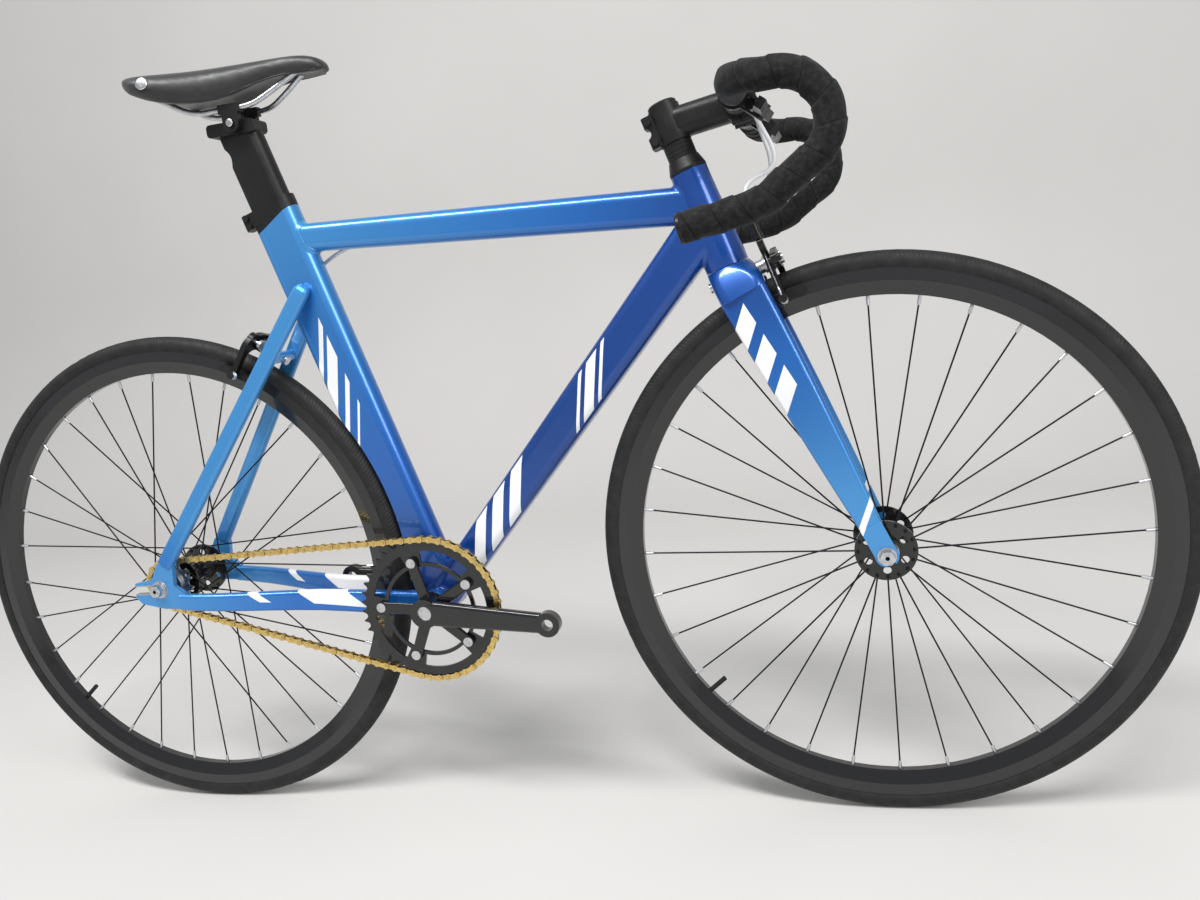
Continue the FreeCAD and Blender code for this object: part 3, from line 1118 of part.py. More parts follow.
def axle(prefix, centre, radius, length, spacing, thickness, half):
    """Hollow axle with its bearings, spacers, washers and nuts."""
    bore = lambda shape: shape.cut(bar_between(centre - LEFT * length, centre + LEFT * length,
                                               radius + S.slip_fit))
    disc = lambda size, start, end: bar_between(centre + LEFT * start, centre + LEFT * end, size)
    solids = [disc(radius, -length / 2, length / 2).cut(disc(S.axle_bore_radius, -length, length))]
    face = spacing / 2 + thickness + S.slip_fit
    for side in (-1, 1):
        solids.append(bore(disc(S.hub_bearing_radius - S.running_fit,
                                side * (half - S.hub_bearing_width + S.running_fit),
                                side * half)))
        solids.append(bore(disc(radius + S.washer_thickness * 2, side * (half + S.slip_fit),
                                side * (spacing / 2 - S.slip_fit))))
        solids.append(bore(disc(S.washer_radius, side * face, side * (face + S.washer_thickness))))
        corners = [polar(centre, S.nut_width / math.sqrt(3), 60 * k,
                         side * (face + S.washer_thickness + S.slip_fit))
                   for k in range(7)]
        solids.append(bore(Part.Face(Part.makePolygon(corners)).extrude(LEFT * (side * S.nut_height))))
    return node(prefix + "_axle", feature(prefix.title() + "Axle", Part.makeCompound(solids)))


def wheels():
    for prefix, centre, offset, half, crossed in (
            ("front", FRONT, "front_flange_offset", "front_hub_half", False),
            ("rear", REAR, "rear_flange_offset", "rear_hub_half", True)):
        tyre(prefix, centre)
        inner_tube(prefix, centre)
        rim(prefix, centre)
        spokes(prefix, centre, value(offset), crossed)
        hub(prefix, centre, offset, half, crossed)
    axle("front", FRONT, S.axle_radius, S.front_axle_length, S.front_spacing, S.fork_end_thickness,
         S.front_hub_half)
    axle("rear", REAR, S.rear_axle_radius, S.rear_axle_length, S.rear_spacing, S.track_end_thickness,
         S.rear_hub_half)


# Drive: the chain's closed loop sets the place of every pin, and so the turn of each sprocket
CHAIN_ALONG = (BRACKET - REAR) * (1 / CENTRES)
CHAIN_HIGH = Vector(-CHAIN_ALONG.z, 0, CHAIN_ALONG.x)
CHAIN_LEAN = chain_lean(CENTRES)
TOP_OUT = CHAIN_HIGH * math.cos(CHAIN_LEAN) - CHAIN_ALONG * math.sin(CHAIN_LEAN)
LOW_OUT = CHAIN_HIGH * -math.cos(CHAIN_LEAN) - CHAIN_ALONG * math.sin(CHAIN_LEAN)
TOP_RUN = CHAIN_ALONG * math.cos(CHAIN_LEAN) + CHAIN_HIGH * math.sin(CHAIN_LEAN)
LOW_RUN = CHAIN_ALONG * -math.cos(CHAIN_LEAN) + CHAIN_HIGH * math.sin(CHAIN_LEAN)
RUN_LINKS = CENTRES * math.cos(CHAIN_LEAN) / S.chain_pitch
RING_LINKS = S.ring_teeth * (0.5 + CHAIN_LEAN / math.pi)
FLANK = math.radians(30)


def round_sprocket(centre, radius, teeth, out, run, links):
    turn = links * 2 * math.pi / teeth
    return centre + out * (radius * math.cos(turn)) + run * (radius * math.sin(turn))


def chain_point(links):
    """Middle of the pin that many pitches along the loop from the top of the cog."""
    links %= LINKS
    if links < RUN_LINKS:
        return REAR + TOP_OUT * COG_RADIUS + TOP_RUN * (links * S.chain_pitch)
    links -= RUN_LINKS
    if links < RING_LINKS:
        return round_sprocket(BRACKET, RING_RADIUS, S.ring_teeth, TOP_OUT, TOP_RUN, links)
    links -= RING_LINKS
    if links < RUN_LINKS:
        return BRACKET + LOW_OUT * RING_RADIUS + LOW_RUN * (links * S.chain_pitch)
    return round_sprocket(REAR, COG_RADIUS, S.cog_teeth, LOW_OUT, LOW_RUN, links - RUN_LINKS)


CHAIN_SIDE = LEFT * -S.chainline


def sprocket(centre, teeth, radius, first_pin):
    """Toothed disc whose gaps take the chain's rollers, the first of them at first_pin."""
    seat_radius = S.roller_diameter / 2 + S.running_fit
    start = math.degrees(math.atan2(first_pin.z - centre.z, first_pin.x - centre.x))
    reach = (S.tooth_height + seat_radius * math.sin(FLANK)) / math.cos(FLANK)
    edges, tips = [], []
    for k in range(int(teeth)):
        gap = polar(ORIGIN, radius, start + k * 360 / teeth)
        out = gap * (1 / radius)
        on = Vector(-out.z, 0, out.x)
        ends = [gap + on * (side * seat_radius * math.cos(FLANK)) - out * (seat_radius * math.sin(FLANK))
                for side in (-1, 1)]
        peaks = [ends[n] + on * (side * reach * math.sin(FLANK)) + out * (reach * math.cos(FLANK))
                 for n, side in ((0, -1), (1, 1))]
        edges += [line(peaks[0], ends[0]), Part.Arc(ends[0], gap - out * seat_radius, ends[1]).toShape(),
                  line(ends[1], peaks[1])]
        tips.append(peaks)
    edges += [line(tips[k][1], tips[(k + 1) % len(tips)][0]) for k in range(len(tips))]
    face = Part.Face(Part.Wire(Part.__sortEdges__(edges)))
    face.translate(centre + CHAIN_SIDE - LEFT * (S.tooth_thickness / 2))
    return face.extrude(LEFT * S.tooth_thickness)


def chain_link(outer):
    """Two plates with either their rollers or their pins, along X from the first pin's middle."""
    inside = S.chain_inner_gap / 2
    if outer:
        inside += S.chain_plate_thickness + S.running_fit
    plates = []
    for side in (-1, 1):
        low = inside if side > 0 else -inside - S.chain_plate_thickness
        ends = [Part.makeCylinder(S.chain_plate_height / 2, S.chain_plate_thickness,
                                  Vector(run, low, 0), LEFT) for run in (0, S.chain_pitch)]
        waist = Part.makeBox(S.chain_pitch, S.chain_plate_thickness, S.chain_waist_height,
                             Vector(0, low, -S.chain_waist_height / 2))
        plates.append(ends[0].fuse([ends[1], waist]).removeSplitter())
    half = S.chain_pin_length / 2 if outer else inside + S.chain_plate_thickness / 2
    radius = S.chain_pin_radius if outer else S.roller_diameter / 2
    posts = [bar_between(Vector(run, -half, 0), Vector(run, half, 0), radius) for run in (0, S.chain_pitch)]
    link = plates[0].fuse([plates[1]] + posts)
    if not outer:
        hole = S.chain_pin_radius + S.running_fit
        link = link.cut([bar_between(Vector(run, -S.chainline, 0), Vector(run, S.chainline, 0), hole)
                         for run in (0, S.chain_pitch)])
    return link


def chain():
    masters = [chain_link(False), chain_link(True)]
    links = []
    for k in range(LINKS):
        start, end = chain_point(k), chain_point(k + 1)
        run = (end - start).normalize()
        spot = (start + end) * 0.5 - run * (S.chain_pitch / 2) + CHAIN_SIDE
        link = masters[k % 2].copy()
        link.Placement = frame_at(spot, run, LEFT, run.cross(LEFT))
        links.append(link)
    return node("chain", feature("Chain", Part.makeCompound(links)))


def cog_and_lockring():
    first = chain_point(math.ceil(2 * RUN_LINKS + RING_LINKS))
    disc = sprocket(REAR, S.cog_teeth, COG_RADIUS, first)
    bore = bar_between(REAR - LEFT * S.rear_spacing, REAR, S.hub_boss_radius + S.slip_fit)
    node("cog", feature("Cog", disc.cut(bore)))
    face = -S.chainline - S.tooth_thickness / 2 - S.slip_fit
    ring = bar_between(REAR + LEFT * face, REAR + LEFT * (face - S.lockring_width), S.lockring_radius)
    node("lockring", feature("Lockring", ring.cut(bore)))


# Cranks: a tapered arm with a square hub and a pedal eye; the right one carries the spider
SPIDER_ARMS = 5
SPIDER_STEP = 360 / SPIDER_ARMS
SPIDER_FACE = S.chainline + S.tooth_thickness / 2 + S.slip_fit
SPIDER_TURNS = [S.crank_angle + (k + 0.5) * SPIDER_STEP for k in range(SPIDER_ARMS)]
BOLT_RADIUS = S.bolt_circle / 2
WEB_SHARE = 0.36


def crank(side):
    angle = S.crank_angle if side < 0 else S.crank_angle + 180
    run = polar(ORIGIN, 1, angle)
    high = Vector(-run.z, 0, run.x)
    root = side * (S.crank_hub_outer - S.crank_root_thickness / 2)
    tip = side * (S.crank_tip_outer - S.crank_tip_thickness / 2)
    wires = [rounded_wire(BRACKET + LEFT * root, high, LEFT, S.crank_root_height, S.crank_root_thickness,
                          S.crank_corner),
             rounded_wire(BRACKET + run * S.crank_length + LEFT * tip, high, LEFT, S.crank_tip_height,
                          S.crank_tip_thickness, S.crank_corner)]
    disc = lambda radius, spot, start, end: bar_between(spot + LEFT * (side * start),
                                                        spot + LEFT * (side * end), radius)
    eye = BRACKET + run * S.crank_length
    solids = [disc(S.crank_hub_radius, BRACKET, S.crank_hub_inner, S.crank_hub_outer),
              disc(S.crank_eye_radius, eye, S.crank_tip_outer - S.crank_tip_thickness, S.crank_tip_outer)]
    voids = [disc(S.pedal_thread_radius, eye, 0, 2 * S.crank_tip_outer),
             disc(S.crank_bolt_radius + S.running_fit, BRACKET, S.crank_hub_outer - S.crank_bolt_depth,
                  2 * S.crank_hub_outer)]
    square = S.spindle_square + 2 * S.slip_fit
    hole = Part.makeBox(square, 2 * S.crank_hub_outer, square)
    hole.Placement = frame_at(BRACKET - run * (square / 2) - high * (square / 2) - LEFT * S.crank_hub_outer,
                              run, LEFT,
                              high)
    hole.translate(LEFT * (side * S.crank_hub_outer))
    if side < 0:
        for degrees in SPIDER_TURNS:
            arm_run = polar(ORIGIN, 1, degrees)
            arm_high = Vector(-arm_run.z, 0, arm_run.x)
            middle = LEFT * -(SPIDER_FACE + S.spider_thickness / 2)
            ends = ((0, S.spider_arm_width), (BOLT_RADIUS, S.spider_tip_width))
            solids.append(loft([rounded_wire(BRACKET + arm_run * reach + middle, arm_high, LEFT, width,
                                             S.spider_thickness, S.cap_edge) for reach, width in ends],
                                             ruled=True))
            spot = BRACKET + arm_run * BOLT_RADIUS
            solids.append(disc(S.spider_tip_width / 2, spot, SPIDER_FACE, SPIDER_FACE + S.spider_thickness))
            voids.append(disc(S.ring_bolt_radius + S.slip_fit, spot, 0, 2 * SPIDER_FACE))
    whole = loft(wires, ruled=True).fuse(solids).cut(voids + [hole])
    name = "right" if side < 0 else "left"
    return node("crank_" + name, feature("Crank" + name.title(), whole))


def spindle():
    run = polar(ORIGIN, 1, S.crank_angle)
    high = Vector(-run.z, 0, run.x)
    half = S.spindle_square / 2
    square = Part.makeBox(S.spindle_square, S.spindle_length, S.spindle_square)
    square.Placement = frame_at(BRACKET - run * half - high * half - LEFT * (S.spindle_length / 2), run,
                                LEFT, high)
    shoulder = LEFT * (S.crank_hub_inner - S.cup_flange)
    round_bar = lambda reach: bar_between(BRACKET - reach, BRACKET + reach, S.spindle_diameter / 2)
    ends = square.common(round_bar(LEFT * S.spindle_length))
    return node("spindle", feature("Spindle", ends.fuse(round_bar(shoulder))))


def chainring():
    disc = sprocket(BRACKET, S.ring_teeth, RING_RADIUS, chain_point(math.ceil(RUN_LINKS)))
    low, high = BRACKET - LEFT * (2 * S.chainline), BRACKET
    web = bar_between(low, high, S.ring_web_outer).cut(bar_between(low, high, S.ring_web_inner))
    voids = [bar_between(low, high, S.ring_inner_radius)]
    for degrees in SPIDER_TURNS:
        spot = LEFT * (-2 * S.chainline)
        corners = [BRACKET + spot] + [polar(BRACKET, 2 * S.ring_web_outer, degrees + SPIDER_STEP / 2 + side *
                                            SPIDER_STEP * WEB_SHARE, spot.y) for side in (-1, 1)]
        wedge = Part.Face(Part.makePolygon(corners + corners[:1])).extrude(LEFT * (2 * S.chainline))
        voids.append(web.common(wedge))
        bolt = polar(ORIGIN, BOLT_RADIUS, degrees)
        voids.append(bar_between(low + bolt, high + bolt, S.ring_bolt_radius + S.slip_fit))
    return node("chainring", feature("Chainring", disc.cut(voids)))


def crank_bolts():
    bolts = []
    outer = SPIDER_FACE + S.spider_thickness + S.slip_fit
    inner = S.chainline - S.tooth_thickness / 2 - S.slip_fit
    disc = lambda spot, start, end, radius: bar_between(spot - LEFT * start, spot - LEFT * end, radius)
    for degrees in SPIDER_TURNS:
        spot = polar(BRACKET, BOLT_RADIUS, degrees)
        bolts.append(disc(spot, inner, outer, S.ring_bolt_radius).fuse([
            disc(spot, outer, outer + S.ring_bolt_head_height, S.ring_bolt_head),
            disc(spot, inner - S.ring_bolt_head_height, inner, S.ring_bolt_head)]))
    foot = S.crank_hub_outer - S.crank_bolt_depth
    for side in (-1, 1):
        bolts.append(disc(BRACKET, side * (S.spindle_length / 2 + S.slip_fit), side * (foot + S.slip_fit),
                          S.spindle_square / 2 - S.slip_fit).fuse(
            disc(BRACKET, side * (foot + S.slip_fit), side * (S.crank_hub_outer - S.cap_edge),
                 S.crank_bolt_radius)))
    return node("crank_bolts", feature("CrankBolts", Part.makeCompound(bolts)))


# Saddle: stations from nose to tail as shares of its length, half-width, and depth below and above its top
SADDLE_STATION_SHARES = ((0.004, 0.11, -0.30, -0.50), (0.036, 0.24, -0.10, -0.58), (0.126, 0.30, 0.0, -0.56),
                         (0.220, 0.32, 0.01, -0.52), (0.300, 0.34, 0.01, -0.58), (0.410, 0.42, 0.0, -0.76),
                         (0.510, 0.52, 0.0, -0.90), (0.615, 0.66, 0.0, -0.94), (0.746, 0.88, 0.02, -0.86),
                         (0.877, 0.99, 0.08, -0.56), (0.955, 0.97, 0.15, -0.28), (0.993, 0.82, 0.20, -0.12))
HOLLOW_STATIONS = (3, 4, 5, 6, 7, 8, 9)
DRAWN_IN_SHARE = 0.9
SHOULDER_SHARE = 0.84
BULGE_SHARE = 0.55
CROWN_SHARE = 0.16
RAIL_SHARES = ((0.13, 0.36, 1.15), (0.26, 0.73, 0.45), (0.36, 1.0, 0.0), (0.665, 1.0, 0.0),
               (0.809, 1.27, 0.8), (0.917, 1.4, 1.3))


SADDLE_NOSE = SADDLE_PIVOT.x + S.saddle_nose_ahead
SADDLE_TOP = SADDLE_PIVOT.z + S.saddle_rise
RAIL_LEVEL = SADDLE_PIVOT.z + S.rail_rise


def saddle_wire(along, half, top, bottom):
    """Closed section of a cushion: flat underneath, drawn-in sides and a crowned top."""
    at = lambda left, up: Vector(SADDLE_NOSE - along, left, up)
    height = top - bottom
    foot, shoulder = half * DRAWN_IN_SHARE, half * SHOULDER_SHARE
    waist, drop = bottom + height * BULGE_SHARE, top - height * CROWN_SHARE
    edges = [line(at(-foot, bottom), at(foot, bottom)),
             Part.Arc(at(foot, bottom), at(half, waist), at(shoulder, drop)).toShape(),
             Part.Arc(at(shoulder, drop), at(0, top), at(-shoulder, drop)).toShape(),
             Part.Arc(at(-shoulder, drop), at(-half, waist), at(-foot, bottom)).toShape()]
    return Part.Wire(edges)


def saddle_station(shares, skirt=0, thickness=0, overrun=0):
    along, half, top, bottom = shares
    return saddle_wire(along * S.saddle_length, half * S.saddle_width / 2 - skirt,
                       SADDLE_TOP + top * S.saddle_depth - thickness,
                       SADDLE_TOP + bottom * S.saddle_depth - overrun)


def rail(side):
    points = [Vector(SADDLE_NOSE - along * S.saddle_length, side * spread * S.rail_spread / 2,
                     RAIL_LEVEL + up * S.rail_bend) for along, spread, up in RAIL_SHARES]
    return rounded_path(points, widest_radii(points))


def saddle():
    outer = loft([saddle_station(shares) for shares in SADDLE_STATION_SHARES])
    hollow = loft([saddle_station(SADDLE_STATION_SHARES[k], S.saddle_skirt, S.saddle_cover_thickness,
                                  S.overrun)
                   for k in HOLLOW_STATIONS])
    sockets = [tube(rail(side), S.rail_radius + S.slip_fit) for side in (-1, 1)]
    node("saddle_cover", feature("SaddleCover", outer.cut([hollow] + sockets)))
    node("saddle_rails",
         feature("SaddleRails", Part.makeCompound([tube(rail(side), S.rail_radius) for side in (-1, 1)])))


def saddle_clamp():
    face = S.seatpost_head_width / 2 + S.loose_fit
    solids, grip = [], S.clamp_jaw_height / 2
    for side in (-1, 1):
        cheek = Part.makeBox(S.clamp_length, S.clamp_jaw_width, S.clamp_jaw_height,
                             Vector(SADDLE_PIVOT.x - S.clamp_length / 2, 0, RAIL_LEVEL - grip))
        lower = min(face * side, (face + S.clamp_jaw_width) * side)
        cheek.translate(LEFT * lower)
        spots = [SADDLE_PIVOT + LEFT * (side * reach) for reach in (face, face + S.clamp_jaw_width)]
        boss = bar_between(spots[0], spots[1], S.seatpost_head_radius - S.cap_edge)
        web = Part.makeBox(2 * S.clamp_jaw_height, S.clamp_jaw_width, RAIL_LEVEL - SADDLE_PIVOT.z,
                           Vector(SADDLE_PIVOT.x - S.clamp_jaw_height, lower, SADDLE_PIVOT.z))
        shank = bar_between(SADDLE_PIVOT, spots[1] + LEFT * (side * S.overrun),
                            S.clamp_bolt_radius + S.slip_fit)
        solids.append(cheek.fuse([boss, web]).cut([shank, tube(rail(side), S.rail_radius + S.slip_fit)]))
    reach = face + S.clamp_jaw_width + S.slip_fit
    bolt = bar_between(SADDLE_PIVOT - LEFT * reach, SADDLE_PIVOT + LEFT * reach, S.clamp_bolt_radius)
    heads = [bar_between(SADDLE_PIVOT + LEFT * (side * reach),
                         SADDLE_PIVOT + LEFT * (side * (reach + S.clamp_bolt_radius)),
                         S.clamp_bolt_head) for side in (-1, 1)]
    return node("saddle_clamp", feature("SaddleClamp", Part.makeCompound(solids + [bolt.fuse(heads)])))


# Brake calipers, drawn once in their own axes: X towards the cable side, Y up, Z towards the frame
CALIPERS = {
    "front": (frame_at(steer(CROWN_TOP - S.crown_bolt_drop, S.caliper_front_reach), LEFT * -1, STEER_UP,
                       STEER_AHEAD * -1), FRONT, S.caliper_front_reach),
    "rear": (frame_at(BRIDGE - STAY_IN * S.caliper_rear_reach, LEFT, STAY_UP, STAY_IN), REAR,
             S.caliper_rear_reach),
}
CABLE_ARM_SHARES = ((-0.1, 0.2), (0.45, 0.22), (0.74, 0.7), (1.08, 0.7), (1.08, 0.48), (0.76, 0.2),
                    (0.74, -0.75), (0.75, -1.25), (0.53, -1.25), (0.53, -0.3), (0.35, -0.17), (-0.1, -0.2))
ANCHOR_ARM_SHARES = ((1.04, 0.2), (1.04, -0.11), (0.7, -0.12), (0.25, -0.22), (-0.3, -0.2), (-0.53, -0.35),
                     (-0.53, -1.25), (-0.75, -1.25), (-0.75, -0.75), (-0.8, 0.0), (-0.62, 0.3),
                     (0.0, 0.36), (0.5, 0.25))
ROUND_SHARE = 0.4
ANCHOR_SHARE = 0.04
FACE = S.arm_gap / 2 + S.arm_thickness
LAYER = (S.arm_gap + S.arm_thickness) / 2


def rounded_outline(points):
    """Closed wire through points, each corner rounded by a tangent arc."""
    bends = []
    for k, here in enumerate(points):
        before, after = points[k - 1], points[(k + 1) % len(points)]
        reach = ROUND_SHARE * min((before - here).Length, (after - here).Length)
        back, onward = (before - here).normalize(), (after - here).normalize()
        half = back.getAngle(onward) / 2
        radius = reach * math.tan(half)
        crest = here + (back + onward).normalize() * (radius / math.sin(half) - radius)
        bends.append((here + back * reach, crest, here + onward * reach))
    edges = []
    for k, (first, crest, last) in enumerate(bends):
        edges.append(Part.Arc(first, crest, last).toShape())
        edges.append(line(last, bends[(k + 1) % len(bends)][0]))
    return Part.Wire(edges)


def arm_plate(shares, low):
    face = Part.Face(rounded_outline([Vector(x * S.arm_span, y * S.arm_span, low) for x, y in shares]))
    return face.extrude(UP * S.arm_thickness)


def rod(x, y, low, high, radius):
    """Round bar across a caliper, along its own Z."""
    return bar_between(Vector(x, y, low), Vector(x, y, high), radius)


def shoe_spot(place, axle_spot):
    """Height of the shoe's middle in the caliper's axes, and the wheel's radial direction there."""
    centre = place.inverse().multVec(axle_spot)
    level = centre.y + math.sqrt(S.shoe_radius_place ** 2 - centre.z ** 2)
    return level, Vector(0, level - centre.y, -centre.z).normalize()


def shoe(place, axle_spot, side):
    level, out = shoe_spot(place, axle_spot)
    along = Vector(0, -out.z, out.y)
    inner = S.rim_width / 2 + S.shoe_gap
    at = lambda reach: Vector(side * reach, level, side * LAYER)
    pad = Part.Face(rounded_wire(at(inner), along, out, S.shoe_length, S.shoe_height, S.pad_corner)).extrude(
        AHEAD * (side * S.pad_depth))
    lip = 2 * S.slip_fit
    holder = Part.Face(rounded_wire(at(inner + S.pad_depth), along, out, S.shoe_length + lip,
                                    S.shoe_height + lip,
                                    S.pad_corner)).extrude(AHEAD * (side * S.shoe_holder_depth))
    leg = S.arm_outside + S.slip_fit
    stud = bar_between(at(inner + S.pad_depth), at(leg + S.pad_bolt_height), S.pad_bolt_radius)
    nut = bar_between(at(leg), at(leg + S.pad_bolt_height), S.pad_bolt_head)
    return pad.fuse([holder, stud, nut])


def caliper(prefix):
    place, axle_spot, reach = CALIPERS[prefix]
    level, _ = shoe_spot(place, axle_spot)
    settle = lambda shape: shape.transformed(place.toMatrix())
    pivot = Vector(-S.side_pivot_offset, S.side_pivot_rise, 0)
    stud_hole = lambda side: bar_between(Vector(0, level, side * LAYER),
                                         Vector(side * S.arm_span, level, side * LAYER),
                                         S.pad_bolt_radius + S.slip_fit)
    bolt = S.brake_bolt_diameter / 2

    cable_arm = arm_plate(CABLE_ARM_SHARES, S.arm_gap / 2).fuse(rod(0, 0, S.arm_gap / 2, FACE, S.pivot_hub))
    top = S.arm_span * CABLE_ARM_SHARES[2][1]
    at = lambda up: Vector(S.cable_offset, up, LAYER)
    barrel = bar_between(at(top + S.slip_fit), at(top + S.barrel_length), S.barrel_radius).fuse(
        bar_between(at(top + S.slip_fit), at(top + S.barrel_boot_radius), S.barrel_boot_radius))
    bore = bar_between(at(0), at(top + 2 * S.barrel_length), S.wire_radius + S.loose_fit)
    hinge = rod(0, 0, 0, 2 * FACE, bolt + S.running_fit)
    side_name = {"front": ("right", "left"), "rear": ("left", "right")}[prefix]
    node("%s_brake_arm_%s" % (prefix, side_name[0]),
         feature(prefix.title() + "CableArm", settle(Part.makeCompound(
        [cable_arm.cut([bore, hinge, stud_hole(1)]), barrel.cut(bore)]))))

    anchor_arm = arm_plate(ANCHOR_ARM_SHARES, -FACE).fuse(rod(pivot.x, pivot.y, -FACE, -S.arm_gap / 2,
                                                              S.pivot_hub))
    anchor_up = S.arm_span * ANCHOR_SHARE
    swing_room = rod(0, 0, -2 * FACE, 0, bolt + S.swing_gap)
    hinge = rod(pivot.x, pivot.y, -2 * FACE, 0, S.side_pivot_radius + S.running_fit)
    stub = rod(S.cable_offset, anchor_up, -FACE, LAYER - S.wire_radius - S.slip_fit, S.pad_bolt_radius)
    collar = rod(S.cable_offset, anchor_up, -S.arm_gap / 2 + S.slip_fit, LAYER - S.wire_radius - S.slip_fit,
                 S.anchor_bolt_head)
    cap = rod(S.cable_offset, anchor_up, -FACE - S.pad_bolt_height, -FACE - S.slip_fit, S.anchor_bolt_head)
    anchor_hole = rod(S.cable_offset, anchor_up, -2 * FACE, 0, S.pad_bolt_radius + S.slip_fit)
    node("%s_brake_arm_%s" % (prefix, side_name[1]),
         feature(prefix.title() + "AnchorArm", settle(Part.makeCompound(
        [anchor_arm.cut([swing_room, hinge, stud_hole(-1), anchor_hole]),
         stub.fuse([collar, cap, rod(S.cable_offset, anchor_up, -FACE - S.slip_fit, -FACE,
                                     S.pad_bolt_radius)])]))))

    for name, side in zip(side_name, (1, -1)):
        node("%s_brake_shoe_%s" % (prefix, name), feature(prefix.title() + name.title() + "Shoe",
                                                          settle(shoe(place, axle_spot, side))))

    plate_low = FACE + S.loose_fit
    plate_high = plate_low + S.bracket_plate
    run = pivot.Length
    along = pivot * (-1 / run)
    across = Vector(-along.y, along.x, 0)
    depth = S.pivot_hub + run + S.caliper_nut_radius
    web = Part.Face(teardrop_wire(along * (S.pivot_hub - depth / 2) + UP * plate_low, along, across, depth,
                                  2 * S.pivot_hub, S.caliper_nut_radius)).extrude(UP * S.bracket_plate)
    head = FACE + S.loose_fit
    back = reach + (S.crown_back if prefix == "front" else S.bridge_diameter / 2) + S.slip_fit
    front = reach - (S.crown_front if prefix == "front" else S.bridge_diameter / 2) - S.slip_fit
    bracket = web.fuse([rod(0, 0, -head, back + S.caliper_nut_height, bolt),
                        rod(0, 0, -head - S.caliper_nut_height, -head, S.caliper_nut_radius),
                        rod(0, 0, plate_high, front, S.caliper_spacer_radius),
                        rod(0, 0, back, back + S.caliper_nut_height, S.caliper_nut_radius),
                        rod(pivot.x, pivot.y, -head, plate_low, S.side_pivot_radius),
                        rod(pivot.x, pivot.y, -head - S.pad_bolt_height / 2, -head, S.anchor_bolt_head)])
    return settle(bracket)


def brackets(crown, stays):
    node("front_brake_bracket", feature("FrontBracket", caliper("front").cut(crown.Shape)))
    node("rear_brake_bracket", feature("RearBracket", caliper("rear").cut(stays.Shape)))


# Brake cables: housings on straight runs and tangent arcs, then the bare wire down to the anchor
def caliper_point(prefix, up):
    return CALIPERS[prefix][0].multVec(Vector(S.cable_offset, up, LAYER))


BARREL_TOP = S.arm_span * CABLE_ARM_SHARES[2][1] + S.barrel_length + S.slip_fit
LEVER_MOUTH = lever_at(-S.lever_clamp_width - S.slip_fit, S.lever_reach * STOP_REACH_SHARE)
MOUTH_IN = LEVER_ALONG * -1


def mirrored_point(point):
    return Vector(point.x, -point.y, point.z)


FRONT_ROUTE = [LEVER_MOUTH, LEVER_MOUTH + MOUTH_IN * S.housing_lead, BAR + Vector(44.6, -14, -75),
               caliper_point("front", BARREL_TOP + S.housing_lead), caliper_point("front", BARREL_TOP)]
REAR_ROUTE = [mirrored_point(LEVER_MOUTH), mirrored_point(LEVER_MOUTH + MOUTH_IN * S.housing_lead),
              BAR + Vector(35.6, 26, -80), BAR + Vector(-14.4, 40, -112), BAR + Vector(-64.4, 34, -109),
              BAR + Vector(-114.4, 14, -103), BAR + Vector(-159.4, 4, -99), STAY_TOP + Vector(106.8, 2, 59.9),
              STAY_TOP + Vector(50.8, 6, 46.9), STAY_TOP + Vector(14.8, 24, 34.9),
              caliper_point("rear", BARREL_TOP + S.housing_lead), caliper_point("rear", BARREL_TOP)]


def wire(prefix):
    tail = S.arm_span * ANCHOR_SHARE - S.wire_tail
    strand = bar_between(caliper_point(prefix, BARREL_TOP - S.slip_fit), caliper_point(prefix, tail),
                         S.wire_radius)
    return strand.fuse(bar_between(caliper_point(prefix, tail),
                                   caliper_point(prefix, tail - S.tail_cap_length),
                                   S.tail_cap_radius))


def housing(points, radius):
    return tube(rounded_path(points, widest_radii(points)), radius)


def cables():
    for prefix, route in (("front", FRONT_ROUTE), ("rear", REAR_ROUTE)):
        print(prefix, "housing bend radii", [round(radius, 1) for radius in widest_radii(route)])
        node(prefix + "_brake_cable", feature(prefix.title() + "Cable", Part.makeCompound(
            [housing(route, S.housing_radius), wire(prefix)])))


# Build every sub-part, check it and write it out
head_tube()
headset_bearings()
seat_tube()
TOP = top_tube()
DOWN = down_tube(TOP)
bottom_bracket()
ENDS = track_ends()
doc.recompute()
chainstays(ENDS, DOWN)
STAYS = seatstays(ENDS)
seat_clamp()
seatpost()
CROWN = fork_crown()
doc.recompute()
fork_blades(CROWN)
headset_cover()
stem()
stem_faceplate()
stem_bolts()
top_cap()
handlebar()
bar_tape()
bar_end_plugs()
lever_clamps()
brake_levers()
wheels()
chain()
cog_and_lockring()
crank(-1)
crank(1)
spindle()
chainring()
crank_bolts()
saddle()
saddle_clamp()
doc.recompute()
brackets(CROWN, STAYS)
cables()
doc.recompute()

for obj in doc.Objects:
    if {"Invalid", "Error"} & set(obj.State):
        raise RuntimeError("object failed to build: " + obj.Name)
os.makedirs("parts", exist_ok=True)
for name, piece in NODES.items():
    if piece.Shape.isNull() or not piece.Shape.isValid():
        raise RuntimeError("sub-part has no sound shape: " + name)
    piece.Shape.exportStep("parts/%s.step" % name)
print(len(NODES), "sub-parts written")
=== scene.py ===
import json
import math

import bpy
import numpy
from bpy.props import FloatProperty, FloatVectorProperty, IntProperty, PointerProperty
from bpy.types import Operator, Panel, PropertyGroup
from mathutils import Matrix, Vector
from mathutils.bvhtree import BVHTree


